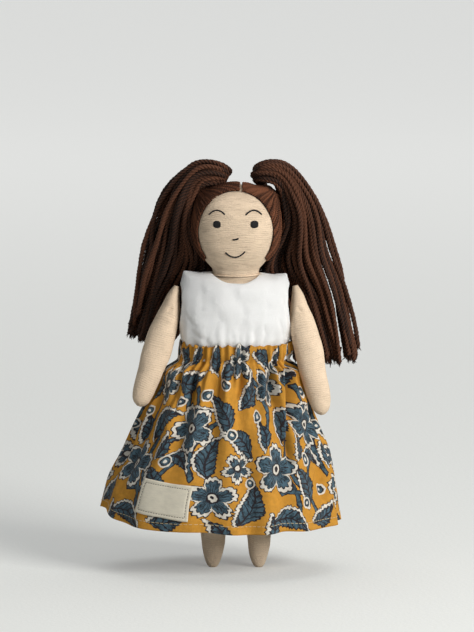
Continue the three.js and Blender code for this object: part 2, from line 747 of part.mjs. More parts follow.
// Top: a sleeveless bodice, tucked into the skirt, with a slit and buttons at the back
const TOP_COUNT = 28;
const PLACKET_STEPS = 5;
const TOP_ROWS = [
  // height: -1 at the hem, 0 at the skirt's upper edge, 1 at the shoulders
  [-1, 0.82, 0.82, 2.1],
  [-0.39, 0.83, 0.83, 2.1],
  [-0.03, 0.9, 0.93, 2.2],
  [0.099, 0.935, 1, 2.3],
  [0.251, 0.965, 1, 2.3],
  [0.446, 1, 0.98, 2.2],
  [0.64, 0.985, 0.92, 2.2],
  [0.778, 0.95, 0.87, 2],
  [0.875, 0.925, 0.78, 1.8],
  [0.945, 0.905, 0.66, 1.7],
  [1, 0.88, 0.46, 1.5],
];
const TOP_TUCKED = SKIRT_TOP_Z - TOP_HEM_Z;
const top = new Form({
  foot: TOP_HEM_Z,
  height: TOP_LENGTH,
  halfWidth: TOP_HALF_WIDTH,
  halfDepth: TOP_HALF_DEPTH,
  x: -0.6,
  rows: TOP_ROWS.map(([level, ...rest]) => {
    const above = level < 0 ? level * TOP_TUCKED : level * (TOP_LENGTH - TOP_TUCKED);
    return [(TOP_TUCKED + above) / TOP_LENGTH, ...rest];
  }),
});

function neckHole() {
  const ring = (z) =>
    Array.from({ length: TOP_COUNT }, (_, i) => {
      const angle = (2 * Math.PI * i) / TOP_COUNT;
      const reach = Math.cos(angle) > 0 ? NECKLINE_FRONT : NECKLINE_BACK;
      return new THREE.Vector3(NECKLINE_HALF_WIDTH * Math.sin(angle), -reach * Math.cos(angle), z);
    });
  return solidOf(closedLoft([ring(TOP_SHOULDER_Z - NECKLINE_DROP), ring(HEAD_TOP)]));
}

function armholes() {
  const reach = 4 * TOP_HALF_WIDTH;
  const round = new THREE.CylinderGeometry(1, 1, reach, TOP_COUNT).rotateZ(Math.PI / 2);
  round.scale(1, ARMHOLE_HALF_DEPTH, ARMHOLE_HALF_HEIGHT).translate(0, ARMHOLE_Y, ARMHOLE_Z);
  return solidOf(round);
}

function topShell() {
  const outer = top.rings(TOP_COUNT);
  const inner = offsetRings(outer, -TOP_CLOTH, 0, -TOP_CLOTH);
  const below = inner[0].map((point) => point.clone().setZ(TOP_HEM_Z - TOP_CLOTH));
  const behind = top.y + TOP_HALF_DEPTH;
  const slit = box(top.x, behind, TOP_HEM_Z, BACK_SLIT_WIDTH, TOP_HALF_DEPTH, 3 * TOP_LENGTH);
  const shell = solidOf(closedLoft(outer))
    .subtract(solidOf(closedLoft([below, ...inner])))
    .subtract(neckHole())
    .subtract(armholes())
    .subtract(slit);
  return namedMesh("top", geometryFrom(shell), whiteLinen());
}

function topOutside(x, z, behind) {
  const depth = top.depthAt(x, z);
  return new THREE.Vector3(x, top.y + (behind ? depth : -depth), z);
}

function placket() {
  const z = TOP_SHOULDER_Z - TOP_LENGTH * 0.14 - PLACKET_LENGTH;
  const rings = Array.from({ length: PLACKET_STEPS + 1 }, (_, i) => {
    const height = z + (PLACKET_LENGTH * i) / PLACKET_STEPS;
    const clear = TOP_CLOTH + 2 * FIT;
    const outside = topOutside(top.x, height, true).y - clear;
    const lean = outside - topOutside(top.x + PLACKET_WIDTH / 2, height, true).y + clear;
    return [
      [-1, outside - lean],
      [0, outside],
      [1, outside - lean],
      [1, outside - lean - PLACKET_THICKNESS],
      [0, outside - PLACKET_THICKNESS],
      [-1, outside - lean - PLACKET_THICKNESS],
    ].map(([share, y]) => new THREE.Vector3(top.x + (share * PLACKET_WIDTH) / 2, y, height));
  });
  return namedMesh("back_placket", closedLoft(rings), whiteLinen());
}

function backButton(number) {
  const x = top.x + BUTTON_RADIUS + BACK_SLIT_WIDTH;
  const z = TOP_SHOULDER_Z - TOP_LENGTH * 0.22 - number * BUTTON_SPACING;
  const seat = topOutside(x, z, true);
  const upwards = topOutside(x, z + BUTTON_RADIUS, true).sub(topOutside(x, z - BUTTON_RADIUS, true));
  const across = topOutside(x + BUTTON_RADIUS, z, true).sub(seat);
  const outwards = upwards.cross(across).normalize();
  const geometry = new THREE.CylinderGeometry(BUTTON_RADIUS * 0.8, BUTTON_RADIUS, BUTTON_HEIGHT, 12);
  const mesh = namedMesh(`back_button_${number + 1}`, geometry, shellButton());
  mesh.quaternion.setFromUnitVectors(new THREE.Vector3(0, 1, 0), outwards);
  mesh.position.copy(seat.addScaledVector(outwards, BUTTON_HEIGHT / 2 + FIT));
  return mesh;
}

// Skirt. Angles run round from the middle of the front, positive to the doll's left.
const SKIRT_COUNT = 96;
const SKIRT_ROWS = [
  // share of the length, left, right, front and back as shares of the way out to the hem, folds
  [0, -0.06, -0.02, 0, 0, 0.14],
  [0.045, -0.07, -0.02, -0.02, -0.02, 0.14],
  [0.094, -0.07, 0.015, -0.06, -0.07, 0.14],
  [0.15, 0.1, 0.165, 0.06, 0.06, 0.3],
  [0.26, 0.2, 0.29, 0.28, 0.25, 0.52],
  [0.38, 0.36, 0.44, 0.5, 0.46, 0.76],
  [0.49, 0.53, 0.55, 0.65, 0.62, 0.92],
  [0.62, 0.74, 0.68, 0.8, 0.77, 1],
  [0.8, 0.88, 0.89, 0.92, 0.91, 1],
  [1, 1, 1, 1, 1, 1],
];
const HEM_LIFT = 9; // of the hem at the doll's right
const LABEL_HOLD = 0.42; // how far round from its middle the label flattens the folds

function skirtPoint(angle, share, grow = 0) {
  const [left, right, front, back, folds] = readTable(SKIRT_ROWS, share);
  const width = angle > 0 ? lerp(SKIRT_WAIST, SKIRT_LEFT, left) : lerp(SKIRT_WAIST, SKIRT_RIGHT, right);
  const hem = Math.cos(angle) > 0 ? SKIRT_FRONT : SKIRT_BACK;
  const out = Math.cos(angle) > 0 ? front : back;
  const depth = lerp(SKIRT_WAIST_DEPTH, hem, out);
  // the folds lie unevenly round the skirt, and the label holds the cloth flat
  const aside = (angle - radians(LABEL_ANGLE)) / LABEL_HOLD;
  const held = 0.85 * Math.exp(-(aside ** 2)) * THREE.MathUtils.smoothstep(share, 0.5, 0.75);
  const turn = SKIRT_FOLDS * angle + 0.8 * Math.sin(3 * angle + 1) + 0.6;
  const fold = SKIRT_FOLD_DEPTH * folds * (1 - held) * (0.5 * Math.cos(turn) - 0.5);
  const lift = HEM_LIFT * share ** 3 * Math.max(-Math.sin(angle), 0) ** 4;
  return new THREE.Vector3(
    (width + fold + grow) * Math.sin(angle),
    -(depth + fold + grow) * Math.cos(angle),
    lerp(SKIRT_TOP_Z, SKIRT_HEM_Z, share) + lift,
  );
}

function skirtRing(share, grow, count = SKIRT_COUNT) {
  return Array.from({ length: count }, (_, i) => {
    const angle = (2 * Math.PI * i) / count;
    return skirtPoint(angle > Math.PI ? angle - 2 * Math.PI : angle, share, grow);
  });
}

function skirt() {
  const shares = SKIRT_ROWS.map((row) => row[0]);
  const outer = shares.map((share) => skirtRing(share, 0));
  const inner = shares.map((share) => skirtRing(share, -SKIRT_CLOTH)).reverse();
  return namedMesh("skirt", loft([...outer, ...inner]), printedCotton());
}

function waistElastic() {
  const shares = [0.5, -0.5].map((up) => (ELASTIC_DROP - up * ELASTIC_HEIGHT) / SKIRT_LENGTH);
  const outside = shares.map((share) => skirtRing(share, -SKIRT_CLOTH - FIT));
  const inside = shares.map((share) => skirtRing(share, -SKIRT_CLOTH - FIT - ELASTIC_THICKNESS));
  return namedMesh("waist_elastic", loft([...outside, ...inside.reverse()]), elasticBand());
}

function hemThread() {
  const share = 1 - HEM_HEIGHT / SKIRT_LENGTH;
  const loop = skirtRing(share, FIT + HEM_THREAD_RADIUS);
  return namedMesh("hem_thread", loopGeometry(loop, HEM_THREAD_RADIUS, 4), paleThread());
}

// Label: a patch that lies on the skirt
function labelPoint(across, up, grow) {
  const tilt = radians(LABEL_TILT);
  const along = across * Math.cos(tilt) + up * Math.sin(tilt);
  const rise = up * Math.cos(tilt) - across * Math.sin(tilt);
  const share = (SKIRT_TOP_Z - LABEL_Z - rise) / SKIRT_LENGTH;
  const middle = radians(LABEL_ANGLE);
  // millimetres of skirt to a radian, so that the label keeps its own width
  const ends = [-0.5, 0.5].map((side) => skirtPoint(middle + side * LABEL_HOLD, share));
  const pace = ends[0].distanceTo(ends[1]) / LABEL_HOLD;
  const step = (2 * Math.PI) / SKIRT_COUNT;
  const facet = (middle + along / pace) / step;
  const from = skirtPoint(Math.floor(facet) * step, share, grow);
  return from.lerp(skirtPoint(Math.ceil(facet) * step, share, grow), facet - Math.floor(facet));
}

function patch(halfWidth, halfHeight, low, high, columns, rows) {
  const grid = (grow) =>
    Array.from({ length: (columns + 1) * (rows + 1) }, (_, i) => {
      const across = lerp(-halfWidth, halfWidth, (i % (columns + 1)) / columns);
      const up = lerp(-halfHeight, halfHeight, Math.floor(i / (columns + 1)) / rows);
      return labelPoint(across, up, grow);
    });
  const lower = grid(low);
  const upper = grid(high);
  const count = lower.length;
  const triangles = [];
  for (let r = 0; r < rows; r++) {
    for (let c = 0; c < columns; c++) {
      const a = r * (columns + 1) + c;
      const b = a + 1;
      const d = a + columns + 1;
      const e = d + 1;
      triangles.push([a, b, e], [a, e, d]);
      triangles.push([count + a, count + e, count + b], [count + a, count + d, count + e]);
    }
  }
  const edge = [];
  for (let c = 0; c < columns; c++) edge.push(c);
  for (let r = 0; r < rows; r++) edge.push(r * (columns + 1) + columns);
  for (let c = columns; c > 0; c--) edge.push(rows * (columns + 1) + c);
  for (let r = rows; r > 0; r--) edge.push(r * (columns + 1));
  edge.forEach((a, i) => {
    const b = edge[(i + 1) % edge.length];
    triangles.push([b, a, count + a], [b, count + a, count + b]);
  });
  return geometryOf([...lower, ...upper], triangles);
}

function label() {
  const low = LABEL_CLEAR;
  const geometry = patch(LABEL_WIDTH / 2, LABEL_HEIGHT / 2, low, low + LABEL_THICKNESS, 12, 5);
  return namedMesh("label", geometry, labelTape());
}

function labelThread() {
  const clear = LABEL_CLEAR + LABEL_THICKNESS + FIT + HEM_THREAD_RADIUS;
  const halfWidth = LABEL_WIDTH / 2 - LABEL_STITCH_INSET;
  const halfHeight = LABEL_HEIGHT / 2 - LABEL_STITCH_INSET;
  const corners = [
    [-halfWidth, -halfHeight],
    [halfWidth, -halfHeight],
    [halfWidth, halfHeight],
    [-halfWidth, halfHeight],
  ];
  const loop = corners.flatMap(([across, up], i) => {
    const [nextAcross, nextUp] = corners[(i + 1) % corners.length];
    const steps = i % 2 ? 4 : 12;
    return Array.from({ length: steps }, (_, k) =>
      labelPoint(lerp(across, nextAcross, k / steps), lerp(up, nextUp, k / steps), clear),
    );
  });
  return namedMesh("label_stitching", loopGeometry(loop, HEM_THREAD_RADIUS, 4), blackThread());
}

const doll = new THREE.Group();
doll.position.set(BODY_OFFSET_X, BODY_OFFSET_Y, 0);
doll.add(
  namedMesh("body", skinOf(body, BODY_COUNT, true, SKIN), linen()),
  namedMesh("body_stuffing", fillingOf(body, BODY_COUNT, true, SKIN), stuffing()),
  namedMesh("head", skinOf(head, HEAD_COUNT, false), linen()),
  namedMesh("head_stuffing", fillingOf(head, HEAD_COUNT, false), stuffing()),
  neckSeam(),
  face(),
);
for (const hand of [LEFT, RIGHT]) {
  doll.add(leg(hand), hipStitches(hand), arm(hand), armThread(hand));
  doll.add(hairCap(hand), hairTie(hand), hairBunch(hand));
}
doll.add(topShell(), placket());
for (let number = 0; number < BUTTON_COUNT; number++) doll.add(backButton(number));
doll.add(skirt(), waistElastic(), hemThread(), label(), labelThread());

export default doll;
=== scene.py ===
import bpy
import bmesh
import math
import numpy as np
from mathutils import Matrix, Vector


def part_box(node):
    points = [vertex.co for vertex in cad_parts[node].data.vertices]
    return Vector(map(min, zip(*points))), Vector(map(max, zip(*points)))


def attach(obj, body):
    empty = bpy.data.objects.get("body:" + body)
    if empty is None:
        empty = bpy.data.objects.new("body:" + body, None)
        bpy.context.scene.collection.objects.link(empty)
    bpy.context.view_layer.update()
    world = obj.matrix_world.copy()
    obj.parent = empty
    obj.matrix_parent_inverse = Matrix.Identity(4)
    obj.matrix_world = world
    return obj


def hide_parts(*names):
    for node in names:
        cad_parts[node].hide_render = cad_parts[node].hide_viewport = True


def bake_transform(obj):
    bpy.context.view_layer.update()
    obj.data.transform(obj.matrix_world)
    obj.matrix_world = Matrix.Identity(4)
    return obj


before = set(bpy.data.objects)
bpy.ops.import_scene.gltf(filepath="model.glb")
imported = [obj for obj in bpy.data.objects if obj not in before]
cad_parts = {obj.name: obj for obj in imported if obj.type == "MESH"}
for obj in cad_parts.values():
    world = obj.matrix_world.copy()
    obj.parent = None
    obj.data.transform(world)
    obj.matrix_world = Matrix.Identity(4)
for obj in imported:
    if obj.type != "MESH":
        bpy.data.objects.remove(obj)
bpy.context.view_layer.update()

bl_info = {
    "name": "Cloth doll",
    "version": (1, 0, 0),
    "blender": (4, 5, 0),
    "location": "3D View > Sidebar > Cloth doll",
    "description": "Dresses the frame of a stuffed linen doll with yarn hair, a linen top and a printed skirt",
    "category": "Object",
}

# The doll is drawn in millimetres about its own middle, standing on the floor and facing -Y.
# Its left is +X. A hand is LEFT or RIGHT, which is also the sign of x on that side.
MIDDLE = np.array((4.2, 3.4, 0.0))
LEFT = 1
RIGHT = -1
HANDS = {LEFT: "left", RIGHT: "right"}
NECK_Z = 218.1


def in_frame(points):
    """Points in millimetres about the doll's middle, as metres in the frame."""
    return (np.asarray(points, float) + MIDDLE) * 0.001


def in_doll(points):
    """Points in metres in the frame, as millimetres about the doll's middle."""
    return np.asarray(points, float) * 1000 - MIDDLE


# ---------------------------------------------------------------- sizes and colours


def measure(name, description, default, low, high, **more):
    return bpy.props.FloatProperty(
        name=name, description=description, default=default, min=low, max=high, **more
    )


def millimetres(name, description, default, low, high):
    return measure(name, description + ", in millimetres", default, low, high, precision=2)


def colour(name, description, default):
    return bpy.props.FloatVectorProperty(
        name=name, description=description, default=default, subtype="COLOR",
        size=3, min=0, max=1,
    )


def from_screen(red, green, blue):
    """A linear colour from the 0 to 255 values that a screen shows."""
    return tuple(
        (c / 255 / 12.92) if c < 10.3 else ((c / 255 + 0.055) / 1.055) ** 2.4
        for c in (red, green, blue)
    )


class DollLinen(bpy.types.PropertyGroup):
    skin: colour("Skin linen", "Colour of the linen of the head and the body", from_screen(236, 212, 184))
    top: colour("Top linen", "Colour of the white linen of the top", from_screen(252, 252, 251))
    thread: millimetres("Thread spacing", "Distance between the threads of the body's linen", 0.5, 0.2, 2)
    fine_thread: millimetres("Fine thread spacing", "Distance between the threads of the top's linen", 0.36, 0.2, 2)
    top_wall: millimetres("Top thickness", "Thickness of the top's linen", 0.6, 0.2, 2)
    embroidery: colour("Embroidery", "Colour of the thread of the face", from_screen(16, 14, 16))


class DollHair(bpy.types.PropertyGroup):
    base: colour("Yarn", "Colour of the wool yarn", from_screen(71, 42, 27))
    strand: millimetres("Yarn width", "Width of a hanging strand", 3.7, 1, 6)
    laid: millimetres("Laid yarn width", "Width of a strand laid tight over the head", 1.55, 0.8, 4)
    lead: millimetres("Twist", "Length in which a strand's plies turn once", 8.5, 3, 20)
    count: bpy.props.IntProperty(name="Strands", description="Strands in each bunch", default=96, min=20, max=110)


class DollSkirt(bpy.types.PropertyGroup):
    ground: colour("Ground", "Ground colour of the printed cotton", from_screen(208, 148, 54))
    leaf: colour("Leaf", "Colour of the printed leaves and petals", from_screen(72, 98, 112))
    outline: colour("Outline", "Colour of the printed outlines", from_screen(38, 34, 40))
    light: colour("Light", "Colour of the halo round the printed flowers", from_screen(232, 226, 214))
    wall: millimetres("Cloth thickness", "Thickness of the cotton", 0.5, 0.2, 2)
    gathers: bpy.props.IntProperty(
        name="Gathers", description="Fine gathers round the waist", default=42, min=12, max=90
    )
    gather: millimetres("Gather depth", "Depth of the fine gathers", 1.25, 0, 4)
    label: colour("Label", "Colour of the cotton tape of the label", from_screen(236, 228, 208))


class DollStage(bpy.types.PropertyGroup):
    floor: colour("Floor", "Colour of the floor", (0.6, 0.61, 0.585))
    distance: measure("Distance", "Distance of the camera", 4.0, 0.5, 10, unit="LENGTH")
    rise: measure("Rise", "Angle at which the camera looks down", math.radians(7.6), 0, 1, unit="ROTATION")
    key: measure("Key light", "Power of the soft light at the right", 48, 0, 200, unit="POWER")
    fill: measure("Fill light", "Power of the weak light at the left", 1.6, 0, 200, unit="POWER")


# ---------------------------------------------------------------- shapes


class Table:
    """Smooth values between the rows of a table, without overshoot."""

    def __init__(self, rows):
        rows = np.array(rows, float)
        self.keys, self.values = rows[:, 0], rows[:, 1:]
        secant = np.diff(self.values, axis=0) / np.diff(self.keys)[:, None]
        product, total = secant[:-1] * secant[1:], secant[:-1] + secant[1:]
        inner = np.where(product > 0, 2 * product / np.where(total == 0, 1, total), 0)
        self.slopes = np.vstack((secant[:1], inner, secant[-1:]))

    def at(self, key):
        key = np.clip(np.asarray(key, float), self.keys[0], self.keys[-1])
        i = np.clip(np.searchsorted(self.keys, key, side="right") - 1, 0, len(self.keys) - 2)
        h = (self.keys[i + 1] - self.keys[i])[..., None]
        t = (key - self.keys[i])[..., None] / h
        return (
            (1 + 2 * t) * (1 - t) ** 2 * self.values[i]
            + t * (1 - t) ** 2 * h * self.slopes[i]
            + t * t * (3 - 2 * t) * self.values[i + 1]
            + t * t * (t - 1) * h * self.slopes[i + 1]
        )


class Form:
    """A stuffed form: half width, half depth and squareness of its sections from the foot up."""

    def __init__(self, foot, height, half_width, half_depth, rows, x=0.0, y=0.0):
        self.foot, self.height, self.half_depth, self.x, self.y = foot, height, half_depth, x, y
        self.table = Table([
            (foot + height * r[0], half_width * r[1], half_depth * r[2], r[3] if len(r) > 3 else 2)
            for r in rows
        ])

    def sizes(self, z):
        return np.moveaxis(self.table.at(z), -1, 0)

    def depth_at(self, x, z):
        """How far the surface lies before or behind the form's middle."""
        w, d, q = self.sizes(z)
        return d * np.maximum(0, 1 - (np.abs(x - self.x) / w) ** q) ** (1 / q)

    def surface(self, angle, z, shrink=1.0):
        """Points at an angle round from the front, positive to the doll's left."""
        w, d, q = self.sizes(z)
        s, c = np.sin(angle), np.cos(angle)
        s, c = np.where(abs(s) < 1e-9, 0, s), np.where(abs(c) < 1e-9, 0, c)
        x = self.x + shrink * w * np.sign(s) * np.abs(s) ** (2 / q)
        y = self.y - shrink * d * np.sign(c) * np.abs(c) ** (2 / q)
        return np.stack((x, y, np.broadcast_to(z, x.shape)), -1)

    def fullness(self, points, grow=0.0):
        """Below 1 inside the form grown by so many millimetres, and above 1 outside it."""
        z = points[..., 2]
        w, d, q = self.sizes(z)
        over = np.maximum(0, np.maximum(z - self.foot - self.height, self.foot - z))
        w, d = w + grow, d + grow
        level = (np.abs(points[..., 0] - self.x) / w) ** q + (np.abs(points[..., 1] - self.y) / d) ** q
        return level + (over / max(grow, 0.01)) ** 2

    def cast(self, start, way, grow=0.0, reach=90.0):
        """Where a ray from inside the form leaves it."""
        low, high = np.zeros(len(way)), np.full(len(way), reach)
        for _ in range(34):
            mid = (low + high) / 2
            inside = self.fullness(start + way * mid[:, None], grow) < 1
            low, high = np.where(inside, mid, low), np.where(inside, high, mid)
        return start + way * low[:, None]


def smooth(value, low=0.0, high=1.0):
    t = np.clip((value - low) / (high - low), 0, 1)
    return t * t * (3 - 2 * t)


def ripple(points, size, seed, waves=10):
    """An uneven field of about -1 to 1, whose bumps are about size apart."""
    rng = np.random.default_rng(seed)
    total = np.zeros(points.shape[:-1])
    for _ in range(waves):
        way = rng.normal(size=points.shape[-1])
        way *= 2 * math.pi / size / np.linalg.norm(way) * rng.uniform(0.6, 1.4)
        total += np.sin(points @ way + rng.uniform(0, 2 * math.pi))
    return total / math.sqrt(waves)


def hill(value, middle, width):
    """1 at the middle, falling to 0 within about twice the width on each side."""
    return np.exp(-(((value - middle) / width) ** 2))


def unit(vectors, least=0.0):
    """The vectors at length 1. Those shorter than least stay shorter than 1."""
    return vectors / np.maximum(np.linalg.norm(vectors, axis=-1, keepdims=True), least)


def lengths(points):
    """The length of a line of points up to each of them."""
    return np.concatenate(([0], np.cumsum(np.linalg.norm(np.diff(points, axis=0), axis=1))))


def read_at(places, run, points):
    """Where a line of points is at other places of its run."""
    return np.stack([np.interp(places, run, column) for column in points.T], -1)


def evenly(points, count, endpoint=True):
    """count points that lie evenly along a line of points."""
    run = lengths(points)
    return read_at(np.linspace(0, run[-1], count, endpoint=endpoint), run, points)


def calmed(points, rounds):
    """A line of points with its corners eased. Its ends stay."""
    for _ in range(rounds):
        points[1:-1] = 0.25 * points[:-2] + 0.5 * points[1:-1] + 0.25 * points[2:]
    return points


def even_shares(form, across, levels, count):
    """Shares of a form's height that lie evenly along its outline. across is how much of the
    outline is the width's, the rest being the depth's."""
    levels = np.linspace(0, 1, levels)
    w, d, _ = form.sizes(form.foot + form.height * levels)
    run = lengths(np.stack((across * w + (1 - across) * d, form.height * levels), -1))
    return np.interp(np.linspace(0, run[-1], count), run, levels)


def near_line(points, line, width):
    """1 on a line of points, falling to 0 within about its width and towards its ends."""
    line = np.array(line, float)
    along = lengths(line) / lengths(line)[-1]
    best, place = np.full(points.shape[:-1], 1e9), np.zeros(points.shape[:-1])
    for k in range(len(line) - 1):
        step = line[k + 1] - line[k]
        t = np.clip(((points - line[k]) @ step) / (step @ step), 0, 1)
        far = np.linalg.norm(points - line[k] - t[..., None] * step, axis=-1)
        closer = far < best
        best = np.where(closer, far, best)
        place = np.where(closer, along[k] + t * (along[k + 1] - along[k]), place)
    return hill(best, 0, width) * np.clip(6 * place * (1 - place), 0, 1) ** 0.5


def creases(points, rows, front=1.0):
    """How deep the creases are at points. Each row holds a line seen from the front, its width and
    its depth."""
    flat = points[..., [0, 2]]
    return front * sum(depth * near_line(flat, line, width) for line, width, depth in rows)


def from_edge(u, v, width, height):
    """The distance from the nearest edge of a sheet of that size."""
    return np.minimum(np.minimum(u, 1 - u) * width, np.minimum(v, 1 - v) * height)


def dip(count):
    """How far a stitch dips at points along it: 0 in its middle and 1 at both ends."""
    return np.linspace(-1, 1, count) ** 4


# ---------------------------------------------------------------- pieces


def sheet_mesh(columns, rows, place, cloth_size, merge=True):
    """A grid whose points go where place(u, v) puts them. Its UVs are millimetres of cloth."""
    bm = bmesh.new()
    uv = bm.loops.layers.uv.new("cloth")
    bmesh.ops.create_grid(bm, x_segments=columns, y_segments=rows, size=0.5, calc_uvs=True)
    flat = np.array([v.co[:2] for v in bm.verts]) + 0.5
    for vert, point in zip(bm.verts, in_frame(place(flat[:, 0], flat[:, 1]))):
        vert.co = point
    for one in bm.faces:
        for loop in one.loops:
            here = loop[uv].uv
            loop[uv].uv = (here.x * cloth_size[0], here.y * cloth_size[1])
    if merge:
        bmesh.ops.remove_doubles(bm, verts=bm.verts, dist=2e-6)
    bmesh.ops.recalc_face_normals(bm, faces=bm.faces)
    return bm


def outwards(bm):
    """Turns an open sheet's faces away from the doll's middle."""
    middle = Vector(in_frame((0, 0, 0)))
    total = 0.0
    for one in bm.faces:
        away = one.calc_center_median() - middle
        away.z = 0
        total += one.normal.dot(away) * one.calc_area()
    if total < 0:
        bmesh.ops.reverse_faces(bm, faces=bm.faces)


def finish_piece(name, bm, material, slot, body, *replaced):
    """Makes the piece of a bmesh, on a body if it rides on one, in place of CAD nodes. The slot is not used."""
    mesh = bpy.data.meshes.new(name)
    bm.to_mesh(mesh)
    bm.free()
    mesh.shade_smooth()
    piece = bpy.data.objects.new(name, mesh)
    bpy.context.scene.collection.objects.link(piece)
    mesh.materials.append(material)
    if body:
        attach(piece, body)
    if replaced:
        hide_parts(*replaced)
    return piece


def bend(piece, share):
    """Bakes the piece's place into its mesh and reckons by share(points) how far each point would follow another
    body than the torso, at 0 the torso and at 1 the other; the weights are not kept.
    """
    in_frame((0, 0, 200))
    in_frame((0, 0, 100))
    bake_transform(piece)
    points = np.empty(len(piece.data.vertices) * 3, np.float32)
    piece.data.vertices.foreach_get("co", points)
    weights = np.clip(share(in_doll(points.reshape(-1, 3))), 0, 1).astype(np.float32)


def apply_modifiers(piece):
    """Replaces the piece's mesh by the one that its modifiers make."""
    bpy.context.view_layer.update()
    graph = bpy.context.evaluated_depsgraph_get()
    made = bpy.data.meshes.new_from_object(piece.evaluated_get(graph), depsgraph=graph)
    old = piece.data
    piece.modifiers.clear()
    piece.data = made
    made.name = piece.name
    if old.users == 0:
        bpy.data.meshes.remove(old)


def give_wall(piece, thickness):
    """Gives a sheet its thickness in millimetres, inwards."""
    wall = piece.modifiers.new("wall", "SOLIDIFY")
    wall.thickness, wall.offset, wall.use_even_offset = thickness * 0.001, -1, False
    apply_modifiers(piece)


def thread_template(sides, steps, length):
    """A straight closed tube with a row of spokes round each of its stations."""
    bm = bmesh.new()
    uv = bm.loops.layers.uv.new("cloth")
    bmesh.ops.create_grid(bm, x_segments=sides, y_segments=steps, size=0.5, calc_uvs=True)
    for vert in bm.verts:
        angle, station = (vert.co.x + 0.5) * 2 * math.pi, round((vert.co.y + 0.5) * steps)
        wide = 0 if station in (0, steps) else 1
        vert.co = (math.cos(angle) * wide, math.sin(angle) * wide, station)
    for one in bm.faces:
        for loop in one.loops:
            loop[uv].uv = (loop[uv].uv.x, loop[uv].uv.y * length)
    bmesh.ops.remove_doubles(bm, verts=bm.verts, dist=1e-4)
    bmesh.ops.recalc_face_normals(bm, faces=bm.faces)
    mesh = bpy.data.meshes.new("strand")
    bm.to_mesh(mesh)
    bm.free()
    co = np.array([v.co for v in mesh.vertices])
    station = np.round(co[:, 2]).astype(int)
    spoke = np.round(np.arctan2(co[:, 1], co[:, 0]) / (2 * math.pi) * sides).astype(int) % sides
    spoke[(station == 0) | (station == steps)] = 0
    shade = mesh.attributes.new("shade", "FLOAT", "POINT")
    return mesh, station, spoke, shade


def strands(paths, widths, sides=9, steps=120, lead=0.0, ply=0.0, seed=1, blunt=False):
    """Threads along paths of points in millimetres. widths is one width or one for each point.
    lead is the length of one turn of the twist, and ply how deep the grooves between its plies are."""
    rng = np.random.default_rng(seed)
    paths = np.asarray(paths, float)
    widths = np.broadcast_to(np.asarray(widths, float), paths.shape[:2])
    count = len(paths)
    gaps = np.linalg.norm(np.diff(paths, axis=1), axis=2)
    run = np.hstack((np.zeros((count, 1)), np.cumsum(gaps, axis=1)))
    # both ends are rounded over three stations, and a blunt strand frays wider at its far end
    rounding = np.array([0, 0.12, 0.5]) * (0.3 if blunt else 0.45) / 0.5
    narrowed = np.array([0, 0.62, 0.93])
    frayed = (1.15, 1.12, 0) if blunt else (1, 1, 1)
    centres = np.empty((count, steps + 1, 3))
    radius, length = np.empty((2, count, steps + 1))
    for i in range(count):
        whole, width = run[i, -1], widths[i].mean()
        middle = np.linspace(width * 0.9, whole - width * 0.9, steps - 5)
        length[i] = np.concatenate((rounding * width, middle, whole - rounding[::-1] * width))
        centres[i] = read_at(length[i], run[i], paths[i])
        radius[i] = np.interp(length[i], run[i], widths[i]) / 2
        radius[i, :3] *= narrowed
        radius[i, -3:] *= narrowed[::-1] * frayed
    tangent = unit(np.gradient(centres, axis=1))
    side = unit(np.cross(tangent[:, 0], (0.31, 0.52, 0.79)))
    sides_of = np.empty_like(centres)
    for k in range(steps + 1):
        side = unit(side - (side * tangent[:, k]).sum(1, keepdims=True) * tangent[:, k])
        sides_of[:, k] = side
    across = np.cross(tangent, sides_of)
    template, station, spoke, shade = thread_template(sides, steps, float(run[:, -1].mean()))
    lobes = 3 if sides % 3 == 0 else 2
    groove = 1 - ply * (0.5 - 0.5 * np.cos(2 * math.pi * lobes * np.arange(sides) / sides))
    bm = bmesh.new()
    for i in range(count):
        turn = rng.uniform(0, 2 * math.pi) + (2 * math.pi * length[i] / lead if lead else 0 * length[i])
        angle = turn[station] + 2 * math.pi * spoke / sides
        wide = radius[i, station] * groove[spoke]
        spokes = np.cos(angle)[:, None] * sides_of[i, station] + np.sin(angle)[:, None] * across[i, station]
        points = centres[i, station] + wide[:, None] * spokes
        template.vertices.foreach_set("co", in_frame(points).ravel())
        shade.data.foreach_set("value", np.full(len(points), rng.uniform(0, 1)))
        bm.from_mesh(template)
    bpy.data.meshes.remove(template)
    bmesh.ops.recalc_face_normals(bm, faces=bm.faces)
    return bm


# ---------------------------------------------------------------- finishes


class Value:
    """What a node gives out. Reckoning with it makes Math nodes."""

    def __init__(self, finish, socket):
        self.finish, self.socket = finish, socket

    def math(self, operation, *others):
        return self.finish.node("Math", dict(enumerate((self, *others))), operation=operation)

    def __add__(self, other):
        return self.math("ADD", other)

    def __sub__(self, other):
        return self.math("SUBTRACT", other)

    def __rsub__(self, other):
        return self.finish.node("Math", {0: other, 1: self}, operation="SUBTRACT")

    def __mul__(self, other):
        return self.math("MULTIPLY", other)

    def __truediv__(self, other):
        return self.math("DIVIDE", other)

    def __abs__(self):
        return self.math("ABSOLUTE")

    def times(self, factor, plus):
        return self.math("MULTIPLY_ADD", factor, plus)

    def least(self, other):
        return self.math("MINIMUM", other)

    def most(self, other):
        return self.math("MAXIMUM", other)

    def sine(self):
        return self.math("SINE")

    def cosine(self):
        return self.math("COSINE")


